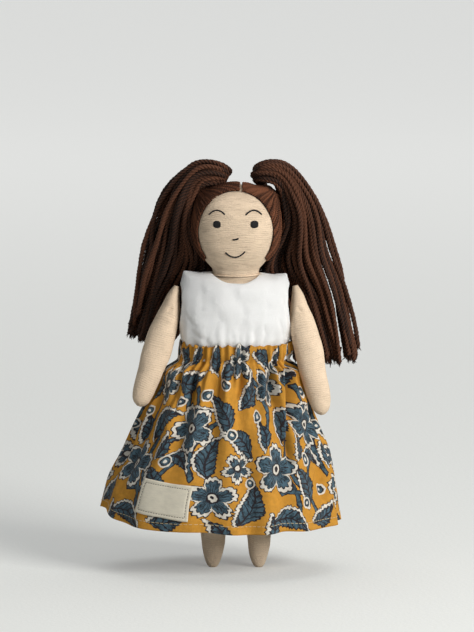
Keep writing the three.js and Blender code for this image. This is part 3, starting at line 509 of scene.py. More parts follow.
class Finish:
    """A material and short names for the nodes that make it up."""

    def __init__(self, name, roughness=0.9, sheen=0.0, sheen_tint=(1, 1, 1)):
        self.material = bpy.data.materials.new(name)
        self.material.use_nodes = True
        self.tree = self.material.node_tree
        self.shader = self.tree.nodes["Principled BSDF"]
        for key, value in {
            "Roughness": roughness, "Specular IOR Level": 0.25, "Sheen Weight": sheen,
            "Sheen Roughness": 0.4, "Sheen Tint": (*sheen_tint, 1),
        }.items():
            self.shader.inputs[key].default_value = value

    def node(self, kind, inputs=(), out=0, **settings):
        made = self.tree.nodes.new("ShaderNode" + kind)
        for key, value in settings.items():
            setattr(made, key, value)
        for key, value in dict(inputs).items():
            self.feed(made.inputs[key], value)
        return Value(self, made.outputs[out])

    def feed(self, socket, value):
        if isinstance(value, Value):
            self.tree.links.new(value.socket, socket)
        elif socket.type == "RGBA":
            socket.default_value = (*value, 1) if len(value) == 3 else value
        else:
            socket.default_value = value

    def vector(self, operation, first, second):
        """Two vectors, or a vector and the factor that scales it."""
        key = "Scale" if operation == "SCALE" else 1
        return self.node("VectorMath", {0: first, key: second}, operation=operation)

    def part(self, vector, axis):
        return self.node("SeparateXYZ", {0: vector}, out=axis)

    def cloth(self):
        """Millimetres of cloth, from the piece's own UVs."""
        return self.node("UVMap", uv_map="cloth")

    def place(self, scale):
        """The piece's own coordinates, so many to the metre."""
        return self.vector("SCALE", self.node("TexCoord", out="Object"), scale)

    def scaled(self, vector, x, y, z=1.0):
        return self.vector("MULTIPLY", vector, (x, y, z))

    def noise(self, vector, scale=1.0, detail=2.0, roughness=0.5, out="Fac"):
        given = {"Vector": vector, "Scale": scale, "Detail": detail, "Roughness": roughness}
        return self.node("TexNoise", given, out)

    def steps(self, value, low, high):
        """0 below low, 1 above high."""
        given = {"Value": value, "From Min": low, "From Max": high}
        return self.node("MapRange", given, interpolation_type="SMOOTHSTEP")

    def mix(self, factor, a, b):
        return self.node("Mix", {0: factor, 6: a, 7: b}, out=2, data_type="RGBA")

    def tone(self, colour, value, darkest, lightest):
        """The colour, darker where value is 0 and lighter where it is 1."""
        low, high = [tuple(min(1, c * k) for c in colour) for k in (darkest, lightest)]
        return self.mix(value, low, high)

    def bump(self, height, distance, normal=None):
        given = {"Height": height, "Distance": distance, "Strength": 1.0}
        if normal:
            given["Normal"] = normal
        return self.node("Bump", given)

    def done(self, base, normal, roughness=None):
        self.feed(self.shader.inputs["Base Color"], base)
        self.feed(self.shader.inputs["Normal"], normal)
        if roughness:
            self.feed(self.shader.inputs["Roughness"], roughness)
        return self.material

    def weave(self, cloth, spacing):
        """Height of a plain weave with threads so many millimetres apart."""
        wander = self.noise(self.scaled(cloth, 0.12, 0.12), detail=1)
        warp, weft = [
            (wander.times(2.2, self.part(cloth, axis)) * (math.pi / spacing)).sine() for axis in "XY"
        ]
        over = self.steps(warp * weft, -0.2, 0.2)
        return over * abs(warp) + (1.0 - over) * abs(weft)


def linen_finish(name, base, spacing, slub=0.5, contrast=0.2, sheen=0.15, ridge=0.0):
    """Plain woven linen with slubs and slight shading from thread to thread."""
    f = Finish(name, roughness=0.92, sheen=sheen, sheen_tint=base)
    cloth = f.cloth()
    height = f.weave(cloth, spacing)
    slubs = (f.noise(f.scaled(cloth, 2.2, 0.16)) + f.noise(f.scaled(cloth, 0.16, 2.2))) * 0.5
    fuzz = f.noise(f.place(2600))
    cloud = f.noise(f.place(45), detail=3)
    shade = slubs * 0.45 + cloud * 0.25 + height * 0.16 + fuzz * 0.2
    # thick and thin yarns lie in low wavy ridges 1.5 mm apart
    level = f.noise(f.scaled(cloth, 0.06, 0.07), detail=1).times(5.0, f.part(cloth, "Y"))
    ridges = (level * (2 * math.pi / 1.5)).sine()
    ridges = ridges * f.steps(f.noise(f.scaled(cloth, 0.1, 0.3)), 0.2, 0.7)
    shade = ridges.times(0.06 * ridge, shade)
    base_colour = f.tone(base, f.steps(shade, 0.3, 0.72), 1 - contrast, 1 + contrast * 0.6)
    normal = f.bump(fuzz, 0.00012, f.bump(ridges, 0.00022 * ridge) if ridge else None)
    return f.done(base_colour, f.bump(height + slubs * (2 * slub), 0.00016, normal))


def white_linen(name, cloth):
    return linen_finish(name, cloth.top, cloth.fine_thread, slub=0.6, contrast=0.05, sheen=0.1)


def yarn_finish(name, base, dark=0.16, light=1.75, apart=0.4):
    """Wool yarn: fibres that run a little across the strand, a shade of its own for each strand, and painted shade
    in the grooves between its plies with lighter colour on their ridges.
    """
    f = Finish(name, roughness=0.82, sheen=0.12, sheen_tint=tuple(min(1, 2.2 * c) for c in base))
    cloth = f.cloth()
    own = f.node("Attribute", out="Fac", attribute_name="shade")
    fibres = f.noise(f.scaled(cloth, 14, 0.9), detail=3, roughness=0.65)
    fine = f.noise(f.place(3200))
    cloud = f.noise(f.place(120))
    # painted shade and highlight: the colour is darker in the grooves between the plies and lighter on their
    # ridges, which are also bumped
    plies = (f.part(cloth, "X") * (6 * math.pi)).cosine()
    shade = plies.times(0.1, own * apart + fibres * 0.34 + fine.times(0.14, cloud * 0.07))
    base_colour = f.tone(base, f.steps(shade, 0.22, 0.78), dark, light)
    return f.done(base_colour, f.bump(plies, 0.0003, f.bump(fibres, 0.0004, f.bump(fine, 0.00025))))


def thread_finish(name, base, sheen=0.1):
    """Sewing thread, with its fine plies."""
    f = Finish(name, roughness=0.6, sheen=sheen, sheen_tint=base)
    plies = f.noise(f.place(5200))
    shade = plies * 0.5 + f.noise(f.place(900)) * 0.5
    return f.done(f.tone(base, f.steps(shade, 0.3, 0.7), 0.75, 1.15), f.bump(plies, 0.00015))


def stuffing_finish(name, base):
    """Loose white stuffing fibre."""
    f = Finish(name, roughness=1.0)
    fibres = f.noise(f.place(900), detail=5, roughness=0.75)
    return f.done(f.tone(base, fibres, 0.85, 1.05), f.bump(fibres, 0.001))


def band_finish(name, base):
    """Knitted elastic, ribbed along the band."""
    f = Finish(name, roughness=0.8, sheen=0.1)
    here = f.place(1000)
    rib = (f.part(here, "Z") * 6.0).sine()
    knit = f.noise(here, 1.4)
    return f.done(f.tone(base, knit, 0.85, 1.05), f.bump(rib * 0.5 + knit, 0.0003))


def shell_finish(name, base):
    """Satin button with the faint bands of shell."""
    f = Finish(name, roughness=0.3)
    f.shader.inputs["Coat Weight"].default_value = 0.35
    bands = f.noise(f.scaled(f.place(1000), 0.25, 0.25, 1.1), 1.2, detail=3)
    return f.done(f.tone(base, bands, 0.86, 1.06), f.bump(bands, 0.0001), bands.times(0.15, 0.22))


def tape_finish(name, base):
    """Twill cotton tape with a soft ribbed weave."""
    f = Finish(name, roughness=0.88, sheen=0.12, sheen_tint=base)
    cloth = f.cloth()
    height = f.weave(cloth, 0.42)
    cloud = f.noise(f.scaled(cloth, 0.18, 0.3), detail=3)
    slub = f.noise(f.scaled(cloth, 0.2, 2.4))
    # painted shade: the colour is darker where the weave lies low between the threads, beside the cloud and slubs
    # of its own tone
    shade = height * 0.25 + (cloud * 0.45 + slub * 0.35)
    return f.done(f.tone(base, f.steps(shade, 0.3, 0.8), 0.86, 1.06), f.bump(height + slub, 0.00014))


# ---------------------------------------------------------------- stuffed pieces

HEAD = Form(NECK_Z, 67, 31, 25.5, [
    (0, 0.54, 0.57, 2), (0.07, 0.56, 0.6, 2), (0.13, 0.66, 0.67, 2), (0.19, 0.77, 0.76, 2.05),
    (0.26, 0.87, 0.86, 2.1), (0.36, 0.955, 0.95, 2.1), (0.5, 1, 1, 2.1), (0.63, 0.985, 0.985, 2.1),
    (0.75, 0.92, 0.925, 2.1), (0.85, 0.8, 0.8, 2.05), (0.93, 0.6, 0.6, 2), (0.98, 0.34, 0.34, 2),
    (0.996, 0.15, 0.15, 2), (1, 0.0, 0.0, 2),
])
BODY = Form(100, 117.8, 36, 20, [
    (0, 0.93, 0.07, 2.4), (0.04, 0.97, 0.25, 2.4), (0.1, 1, 0.5, 2.3), (0.19, 0.99, 0.76, 2.2),
    (0.3, 0.93, 0.86, 2.1), (0.42, 0.87, 0.84, 2.1), (0.52, 0.875, 0.84, 2.1), (0.65, 0.93, 0.93, 2.2),
    (0.78, 0.97, 0.93, 2.1), (0.88, 0.97, 0.84, 2), (0.94, 0.93, 0.76, 1.7), (0.97, 0.84, 0.7, 1.6),
    (0.985, 0.66, 0.68, 1.7), (1, 0.48, 0.71, 2),
])
LEG_X = 17
LEG_SIZE = (97, 14, 11.5)  # height, half width and half depth
LEG_ROWS = [
    (0, 0.186, 0.226, 2), (0.014, 0.28, 0.34, 2), (0.05, 0.39, 0.46, 2), (0.11, 0.51, 0.61, 2),
    (0.2, 0.62, 0.75, 2), (0.32, 0.69, 0.84, 2), (0.52, 0.79, 0.94, 2.1), (0.7, 0.9, 1, 2.2),
    (0.83, 0.98, 0.81, 2.3), (0.94, 1, 0.34, 2.4), (1, 0.98, 0.12, 2.4),
]
ARM_HALF = (10.6, 9.8)  # half width and half depth
ARM_ROWS = [
    (0, 0.2, 0.2), (0.016, 0.41, 0.41), (0.05, 0.61, 0.61), (0.12, 0.76, 0.76), (0.24, 0.86, 0.86),
    (0.38, 0.95, 0.94), (0.52, 1, 0.98), (0.63, 0.95, 1), (0.7, 0.86, 0.99), (0.78, 0.74, 0.97),
    (0.86, 0.58, 0.9), (0.94, 0.38, 0.74), (1, 0.18, 0.4),
]
ARM_PIVOT = (-1.5, 192.5)  # y and z
ARM_PLACES = {LEFT: (46.8, 12.6), RIGHT: (48.2, 18.0)}  # x, and splay in degrees
ARM_TILT = 8
ARM_FOOT = {LEFT: -79, RIGHT: -74.5}  # from the pivot
ARM_HEAD = 18
SEAM_DEPTH = 0.35
LUMP_HEIGHT = 0.35


def stuffed_mesh(form, columns, rows, seed, shape=None):
    """A stuffed form with side seams, soft lumps and rounded closed ends."""
    shares = even_shares(form, 0.5, 400, rows - 3)
    w, d, _ = form.sizes(form.foot + form.height * np.linspace(0, 1, 400))
    foot_drop = min((w[0] + d[0]) / 2 * 0.3, 0.5)

    def place(u, v):
        step = v * rows
        share = np.interp(step, np.arange(2, rows - 1), shares)
        shrink = np.interp(step, [0, 1, 2, rows - 2, rows - 1, rows], [0, 0.72, 1, 1, 0.72, 0])
        angle = (u - 0.5) * 2 * math.pi
        z = form.foot + form.height * share
        points = form.surface(angle, z, shrink)
        points[:, 2] -= foot_drop * np.interp(step, [0, 1, 2], [1, 0.75, 0])
        out = unit(points - np.stack((0 * z + form.x, 0 * z + form.y, z), -1), 0.3)
        from_seam = (np.abs(angle) - math.pi / 2) * w.mean()
        push = LUMP_HEIGHT * (ripple(points, 22, seed) + 0.12 * ripple(points, 6, seed + 5))
        push += SEAM_DEPTH * (0.5 * hill(from_seam, 0, 2.6) - shrink * hill(from_seam, 0, 0.9))
        points += out * (push * np.clip(4 * share * (1 - share) + 0.25, 0, 1) * shrink)[:, None]
        return shape(points, out) if shape else points

    around = math.pi * (w.mean() + d.mean())
    return sheet_mesh(columns, rows, place, (around, form.height))


def leg_mesh(hand):
    x = LEG_X * hand
    pucker = [([(x - 3, 5), (x + 2.5, 8)], 1.1, 0.3)]

    def shape(points, out):
        points[:, 2] = np.maximum(points[:, 2], 0)
        return points - out * creases(points, pucker)[:, None]

    return stuffed_mesh(Form(0, *LEG_SIZE, LEG_ROWS, x=x), 64, 90, 11 + hand, shape)


def arm_turn(hand):
    """Turns a straight arm, drawn about its pivot, to hang splayed and a little forwards."""
    splay = -hand * math.radians(ARM_PLACES[hand][1])
    tilt = -math.radians(ARM_TILT)
    about_y = np.array([
        [math.cos(splay), 0, math.sin(splay)], [0, 1, 0], [-math.sin(splay), 0, math.cos(splay)],
    ])
    about_x = np.array([
        [1, 0, 0], [0, math.cos(tilt), -math.sin(tilt)], [0, math.sin(tilt), math.cos(tilt)],
    ])
    return about_x @ about_y


def arm_mesh(hand):
    form = Form(ARM_FOOT[hand], ARM_HEAD - ARM_FOOT[hand], *ARM_HALF, ARM_ROWS)
    pivot = (hand * ARM_PLACES[hand][0], *ARM_PIVOT)
    # the thread that joins the arm pulls a dimple and two creases into its upper end
    pulled = (
        ([(-1.5 * hand, 1.5), (1.5 * hand, -1.5)], 1.3, 1.3),
        ([(-4 * hand, -6), (3 * hand, -3)], 1.6, 0.5),
        ([(-5 * hand, -12), (2 * hand, -10)], 2.0, 0.35),
    )

    def shape(points, out):
        # the upper end keeps clear of the armhole when the arm is lifted
        points[:, 0] += 0.9 * hand * smooth(points[:, 2], 0, 12)
        points -= out * creases(points, pulled, smooth(-points[:, 1], 0, 5))[:, None]
        return points @ arm_turn(hand).T + pivot

    return stuffed_mesh(form, 64, 90, 21 + hand, shape)


class DOLL_OT_body(bpy.types.Operator):
    """Makes the stuffed body, the arms and the legs"""

    bl_idname = "doll.body"
    bl_label = "Body, arms and legs"

    def execute(self, context):
        cloth = context.scene.doll_linen
        linen = linen_finish("skin linen", cloth.skin, cloth.thread, ridge=0.55)
        hip_thread = from_screen(228, 218, 200)
        for node, tint in (
            ("left_arm_thread", cloth.skin), ("right_arm_thread", cloth.skin), ("neck_seam_thread", cloth.skin),
            ("left_hip_stitches", hip_thread), ("right_hip_stitches", hip_thread),
        ):
            give_finish(node, thread_finish(node.replace("_", " "), tint))
        body = stuffed_mesh(BODY, 110, 100, 4)
        piece = finish_piece("body_cloth", body, linen, "linen", "torso", "body", "body_stuffing")
        for hand, side in HANDS.items():
            for part, mesh in (("leg", leg_mesh(hand)), ("arm", arm_mesh(hand))):
                limb = f"{side}_{part}"
                piece = finish_piece(f"{limb}_cloth", mesh, linen, "linen", limb, limb, f"{limb}_stuffing")
        return {"FINISHED"}


def give_finish(node, material):
    """Puts a finish on a CAD node that is kept."""
    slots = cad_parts[node].data.materials
    slots.clear()
    slots.append(material)


def head_place(u, v):
    """The head's surface: v runs from the neck seam to the crown."""
    share = np.interp(v, np.linspace(0, 1, 401), even_shares(HEAD, 1, 600, 401))
    points = HEAD.surface((u - 0.5) * 2 * math.pi, HEAD.foot + HEAD.height * share)
    out = unit(points - (0, 0, NECK_Z + 33))
    calm = smooth(share, 0, 0.15) * (1 - smooth(share, 0.9, 1))
    return points + out * (calm * 0.35 * ripple(points, 30, 7))[:, None]


def on_face(x, level, clear):
    """A point so far clear of the front of the head, so high above the neck seam."""
    x, level = np.broadcast_arrays(np.asarray(x, float), np.asarray(level, float))
    z = NECK_Z + level
    w, d, q = HEAD.sizes(z)
    y = -HEAD.depth_at(x, z)
    aside = np.sign(x) * (np.abs(x) / w) ** (q - 1) / w
    out = unit(np.stack((aside, -((np.abs(y) / d) ** (q - 1)) / d, 0 * x), -1))
    return np.stack((x, y, z), -1) + out * np.broadcast_to(clear, x.shape)[..., None]


def stitched_arc(x, level, width, rise, stitches, tilt):
    """Back stitches along a shallow arc on the face, each a short thread that dips in at both ends."""
    paths = []
    for k in range(stitches):
        share = np.linspace((k - 0.12) / stitches, (k + 1.12) / stitches, 9) * 2 - 1
        line = on_face(x + share * width / 2, level + rise * (1 - share**2) + tilt * share, 0.18)
        paths.append(line - np.outer(dip(9) * 0.5, (0, -1, 0)))
    return paths


# node, width of the thread, and the arc: middle across and up, width, rise, stitches and tilt
FACE = (
    ("left_brow", 1.3, (13.0, 47.1, 11.4, 3.1, 5, 0)),
    ("right_brow", 1.3, (-13.6, 47.1, 11.4, 3.1, 5, 0.2)),
    ("nose_stitch", 1.45, (-0.1, 29.4, 3.8, -0.3, 2, 0.35)),
    ("mouth_stitch", 1.3, (-0.3, 19.5, 14, -3.9, 7, 0.5)),
)
EYE_X, EYE_LEVEL, EYE_ROWS = 13.6, 40, 13


class DOLL_OT_head(bpy.types.Operator):
    """Makes the stuffed head with its stitched face"""

    bl_idname = "doll.head"
    bl_label = "Head and face"

    def execute(self, context):
        cloth = context.scene.doll_linen
        linen = linen_finish("face linen", cloth.skin, cloth.thread, ridge=1.0)
        mesh = sheet_mesh(128, 110, head_place, (175, 95))
        head = finish_piece("head_cloth", mesh, linen, "linen", "torso", "head", "head_stuffing")
        black = thread_finish("embroidery", cloth.embroidery, sheen=0.04)
        for name, width, arc in FACE:
            mesh = strands(stitched_arc(*arc), width, sides=6, steps=14, seed=3)
            finish_piece(f"{name}_thread", mesh, black, "black_thread", "torso", name)
        run = np.linspace(-1, 1, 11)
        clear = 0.15 + 0.42 * np.sqrt(1 - run**2)
        for hand, side in HANDS.items():
            paths = []
            for k in range(EYE_ROWS):
                across = (2 * k + 1 - EYE_ROWS) / EYE_ROWS
                half = max(0.3, 1 - abs(across) ** 3) ** 0.4 * (2.85 if k % 2 else 2.65)
                paths.append(on_face(EYE_X * hand + across * 2.6, EYE_LEVEL + run * half, clear))
            mesh = strands(paths, 0.62, sides=6, steps=16, seed=5)
            finish_piece(f"{side}_eye_stitches", mesh, black, "black_thread", "torso", f"{side}_eye")
        return {"FINISHED"}


# ---------------------------------------------------------------- hair

TIE_BASE = np.array((23.0, 7.0, 274.5))
TIE_AXIS = np.array((0.604, 0.0, 0.797))
HEAD_MIDDLE = np.array((0.0, 0.0, 251.0))
PARTINGS = {LEFT: 4.6, RIGHT: -3.0}
HAIRLINE = (26.8, 30, 251.1)  # half width, height and middle of the hairline's arc
LOCKS = 5
GOLDEN_TURN = 2.39996


def mirrored(points, hand):
    return np.asarray(points) * (hand, 1, 1)


def hair_edge(hand):
    """The edge of the laid hair on one half of the head, in the half's own mirrored sense."""
    parting = PARTINGS[hand]
    half, rise, level = HAIRLINE
    turn = np.linspace(math.asin(parting / half), math.radians(128), 160)
    x, z = half * np.sin(turn), level + rise * np.cos(turn)
    line = np.stack((x, np.minimum(-HEAD.depth_at(x, z), -3), z), -1)
    # from there it goes round the neck to the parting behind
    end = np.arctan2(line[-1, 0], -line[-1, 1])
    around = np.linspace(end, math.pi - math.asin(parting / 25), 120)
    behind = (HEAD.half_depth - HEAD.half_depth * np.cos(around)) / (2 * HEAD.half_depth)
    under = HEAD.surface(around, NECK_Z + 15 - behind * 8.5)
    drop = smooth(np.linspace(0, 1, 120), 0, 0.12)[:, None]
    under = line[-1] * (1 - drop) + under * drop
    # and over the crown along the parting
    over = np.linspace(math.radians(-52), math.radians(232), 420)
    way = np.stack((0 * over, -np.cos(over), np.sin(over)), -1)
    ring = HEAD.cast(HEAD_MIDDLE + (parting, 0, 0), way)
    back = ring[(ring[:, 1] > 0) & (ring[:, 2] > under[-1, 2])][::-1]
    front = ring[(ring[:, 1] <= 0) & (ring[:, 2] > line[0, 2])][::-1]
    return np.vstack((line, under, back, front, line[:1]))


def laid_paths(edge, share, lift):
    """Paths over the head from the hair's edge to the tie. share runs along each path."""
    flat = edge[:, None] * (1 - share[:, None]) + TIE_BASE * share[:, None]
    away = unit(flat - HEAD_MIDDLE)
    on_head = HEAD.cast(HEAD_MIDDLE, away.reshape(-1, 3)).reshape(away.shape)
    gap = np.linalg.norm(on_head - TIE_BASE, axis=2, keepdims=True)
    return on_head + away * (lift + 3.6 * (1 - smooth(gap, 2, 13)))


def laid_strands(hand, hair):
    rng = np.random.default_rng(31 + hand)
    whole = hair_edge(hand)
    count = int(lengths(whole)[-1] / (hair.laid * 0.98))
    edge = evenly(whole, count, endpoint=False)
    share = np.linspace(-0.01, 0.93, 44)
    along, height = share[None, :, None], edge[:, 2][:, None, None]
    layer = 0.7 * (np.arange(count) % 2)[:, None, None]
    climb = smooth(along, 0.35, 0.95)
    lift = 1.05 + layer * (0.45 + 1.1 * climb) + 0.8 * climb
    if hand == LEFT:  # more yarn lies over this side of the head
        lift = lift + 1.2 * hill(height, 246, 15) * smooth(along, 0, 0.2)
    lift = lift * (1 - 0.65 * (1 - smooth(height, 224, 244)) * (1 - smooth(along, 0, 0.3)))
    paths = laid_paths(edge, share, lift)
    sway = rng.normal(size=(count, 3, 3))
    for k in range(3):
        paths += sway[:, k][:, None] * (0.22 / (k + 1)) * np.sin((k + 1) * math.pi * along)
    # each strand starts a little further in or out, so the hairline is scalloped
    start = rng.uniform(-0.022, 0.03, count)
    for i in range(count):
        paths[i] = read_at(share + start[i] * (1 - share) ** 3, share, paths[i])
    wide = hair.laid * (0.98 - 0.3 * smooth(share, 0.45, 1)) * rng.uniform(0.93, 1.07, (count, 1))
    return strands(
        mirrored(paths, hand), wide, sides=6, steps=60, lead=hair.lead * 0.62, ply=0.26, seed=41 + hand
    )


def laid_shade_shell(hand):
    """A dark shell of painted shade under the laid strands, from the hairline to the tie."""
    columns, rows = 160, 30
    edge = evenly(hair_edge(hand), columns, endpoint=False)
    grid = mirrored(laid_paths(edge, np.linspace(0.01, 1, rows + 1), 0.45), hand)

    def place(u, v):
        return grid[np.round(u * columns).astype(int) % columns, np.round(v * rows).astype(int)]

    return sheet_mesh(columns, rows, place, (180, 40))


# the strands leave the tie at the back, turn round the inner edge and lie over to the front
BUNCH_GUIDES = {
    LEFT: (
        [(24, 10, 281), (18, 12, 288), (14, 9.5, 295), (12.8, 5, 298), (14.5, 0.5, 300), (20, -1.5, 302.5),
         (29, -0.5, 303.6), (38, 2, 301), (47, 5, 292.5), (55, 7.5, 282), (62, 9.5, 271), (68, 11.5, 256),
         (73, 15, 236), (79, 21, 216), (81, 25, 204), (83, 27, 188), (86, 28, 168), (88, 28, 150)],
        [(25, 10, 279.5), (20, 12, 281.5), (15.5, 9.5, 284), (13.8, 5, 285.5), (15, 1, 286.8), (20, -1.5, 287.8),
         (27, -0.5, 287), (32.3, 3, 282.5), (33.6, 6.5, 276), (33.2, 9, 268), (32.8, 10.5, 261), (32.4, 13, 250),
         (25, 20, 236), (17.5, 24, 226), (15, 26, 216), (21, 28, 205), (32, 28, 190), (38, 28, 176),
         (43, 28, 160), (47, 28, 146)],
    ),
    RIGHT: (
        [(24, 10, 281), (13, 12, 287), (6, 9.5, 291), (3.4, 5, 293.5), (5, 0.5, 296.5), (10, -1.5, 300.5),
         (18, -1, 303), (28, 1, 302.3), (38, 3.5, 295), (48, 7, 284), (57, 10, 269), (64, 11.5, 253),
         (69, 14, 238), (71, 19, 222), (73, 24, 206), (77, 27, 188), (81, 28, 170)],
        [(25, 10, 279.5), (19, 12, 281), (13, 9.5, 283), (10.5, 5, 284.3), (12, 1, 285.4), (17, -1.5, 285.6),
         (24, -0.5, 284), (29.5, 3, 280), (32.4, 6.5, 276), (32.2, 9.5, 267), (31.8, 11, 258), (31, 13, 248),
         (25, 20, 237), (17.5, 24, 227), (15, 26, 217), (21, 28, 207), (31, 28, 196), (38, 28, 182),
         (46, 28, 168), (51, 28, 160)],
    ),
}
BUNCH_DEPTH = Table([
    (0, 3), (0.08, 3.5), (0.15, 4.5), (0.22, 7), (0.32, 12.5), (0.42, 16), (0.55, 14.5), (0.7, 11.5),
    (0.85, 11), (1, 11),
])


def bunch_strands(hand, hair):
    """The strands of a bunch, with the loose fibres at their cut ends."""
    rng = np.random.default_rng(53 + hand)
    outer, inner = [calmed(evenly(np.array(line, float), 80), 6) for line in BUNCH_GUIDES[hand]]
    t = np.linspace(0, 1, 80)
    count = hair.count
    k = np.arange(count)
    # share runs from the outer to the inner side of the bunch, and layer from front to back
    spot = np.sqrt((k + 0.4) / count) * (1 - 0.02 * rng.random(count))
    turn = k * GOLDEN_TURN + 0.25 * rng.normal(size=count)
    share = 0.5 - 0.5 * spot * np.cos(turn)
    layer = -spot * np.sin(turn)
    # the strands cross each other where they leave the tie, and then lie side by side
    settle = smooth(t, 0.0, 0.15)
    mixed = rng.permutation(count)
    share = share[mixed][:, None] * (1 - settle) + share[:, None] * settle
    layer = layer[mixed][:, None] * (1 - settle) * 0.8 + layer[:, None] * settle
    # lower down the strands draw together into loose locks
    lock = np.clip(np.floor(share[:, -1:] * LOCKS), 0, LOCKS - 1)
    parted = smooth(t, 0.5, 1.0)
    share = share + ((lock + 0.5) / LOCKS - share) * 0.5 * parted
    paths = outer * (1 - share)[..., None] + inner * share[..., None]
    paths[:, :, 0] += rng.normal(size=LOCKS)[lock.astype(int)] * 2.0 * parted
    paths[:, :, 1] += layer * BUNCH_DEPTH.at(t)[:, 0]
    # the lower half hangs clear of the arms where they swing back
    paths[:, :, 1] += 7 * (1 - smooth(paths[:, :, 2], 192, 226))
    loose = (0.75 * smooth(t, 0.0, 0.05) + 0.35 * smooth(t, 0.1, 0.5))[:, None]
    for wave in range(1, 5):
        phase = rng.uniform(0, 2 * math.pi, (count, 1, 3))
        size = rng.normal(size=(count, 1, 3)) * (1.5, 1.1, 0.8) / wave
        paths += loose * size * np.sin(wave * 1.7 * math.pi * t[:, None] + phase)
    stray = rng.random(count) < 0.2
    drift = np.where(stray, 4.0, 1.0) * rng.normal(size=count)
    paths[:, :, 0] += parted * drift[:, None] * 0.8
    paths[:, :, 1] += parted * rng.normal(size=(count, 1)) * 1.6
    # the strands are cut to slightly different lengths
    keep = 1 - np.clip(np.abs(rng.normal(size=count)) * 0.032, 0, 0.1)
    for i in range(count):
        paths[i] = read_at(t * keep[i], t, paths[i])
    wide = hair.strand * (0.64 + 0.36 * smooth(t, 0.05, 0.3)) * rng.uniform(0.93, 1.06, (count, 1))
    mesh = strands(
        mirrored(paths, hand), wide, sides=6, steps=130, lead=hair.lead, ply=0.18, seed=61 + hand, blunt=True
    )
    # five short fibres fray out of each end
    ends = np.repeat(paths[:, -1], 5, axis=0)
    away = unit(ends - np.repeat(paths[:, -4], 5, axis=0))
    away = unit(away + 0.38 * rng.normal(size=away.shape))
    root = ends + 0.55 * rng.normal(size=ends.shape)
    reach = rng.uniform(1.6, 3.4, (len(ends), 1, 1))
    run = np.linspace(-0.6, 1, 5)[:, None]
    tufts = root[:, None] + away[:, None] * run * reach
    tufts = tufts + 0.25 * rng.normal(size=tufts.shape) * (run > 0)
    fine = (1.15, 1.05, 0.9, 0.65, 0.3)
    return joined(mesh, strands(mirrored(tufts, hand), fine, sides=4, steps=6, seed=71 + hand))


def tie_strand(hand, hair):
    """Yarn wound five times round the root of a bunch."""
    share = np.linspace(0, 1, 240)
    turn = 2 * math.pi * 5 * share
    first = np.array((0.0, 1.0, 0.0))
    second = np.cross(TIE_AXIS, first)
    wide = 6.5 + 0.9 * (1 - np.abs(share * 2 - 1)) + 0.15 * np.sin(3.3 * turn)
    ring = np.outer(np.cos(turn), first) + np.outer(np.sin(turn), second)
    centre = TIE_BASE + TIE_AXIS * 5.3 + np.outer((share - 0.5) * 3.4, TIE_AXIS)
    path = centre + wide[:, None] * ring
    return strands(mirrored([path], hand), 1.7, sides=9, steps=420, lead=hair.lead * 0.6, ply=0.18, seed=81)


def joined(bm, other):
    """One bmesh with another added to it."""
    held = bpy.data.meshes.new("held")
    other.to_mesh(held)
    other.free()
    bm.from_mesh(held)
    bpy.data.meshes.remove(held)
    return bm


class DOLL_OT_hair_cap(bpy.types.Operator):
    """Makes the yarn laid over the head in two halves, and the yarn ties"""

    bl_idname = "doll.hair_cap"
    bl_label = "Laid hair and ties"

    def execute(self, context):
        hair = context.scene.doll_hair
        # painted light: the laid yarn and the ties are a copy of the hanging yarn 3.1 times lighter, for the light
        # that falls over the head
        yarn = yarn_finish("laid yarn painted lighter", tuple(3.1 * c for c in hair.base), dark=0.36, light=1.4, apart=0.55)
        # painted shade: a copy of the yarn at 0.3 of its colour, for the shell under the laid strands
        shadow = yarn_finish("yarn painted shade", tuple(0.3 * c for c in hair.base))
        for hand, side in HANDS.items():
            finish_piece(f"{side}_hair_shade_shell", laid_shade_shell(hand), shadow, "hair_yarn", "torso")
            for name, mesh, node in (
                ("laid_hair", laid_strands(hand, hair), "hair_cap"),
                ("yarn_tie", tie_strand(hand, hair), "hair_tie"),
            ):
                finish_piece(f"{side}_{name}", mesh, yarn, "hair_yarn", "torso", f"{side}_{node}")
        return {"FINISHED"}


class DOLL_OT_bunches(bpy.types.Operator):
    """Makes the two hanging bunches of yarn"""

    bl_idname = "doll.bunches"
    bl_label = "Bunches of yarn"

    def execute(self, context):
        hair = context.scene.doll_hair
        yarn = yarn_finish("hanging yarn", hair.base)
        for hand, side in HANDS.items():
            bunch = finish_piece(
                f"{side}_bunch_strands", bunch_strands(hand, hair), yarn, "hair_yarn", None, f"{side}_hair_bunch",
            )
            root = mirrored(TIE_BASE + TIE_AXIS * 3, hand)
            bend(bunch, lambda p: smooth(np.linalg.norm(p - root, axis=1), 4, 18))
        return {"FINISHED"}


# ---------------------------------------------------------------- top

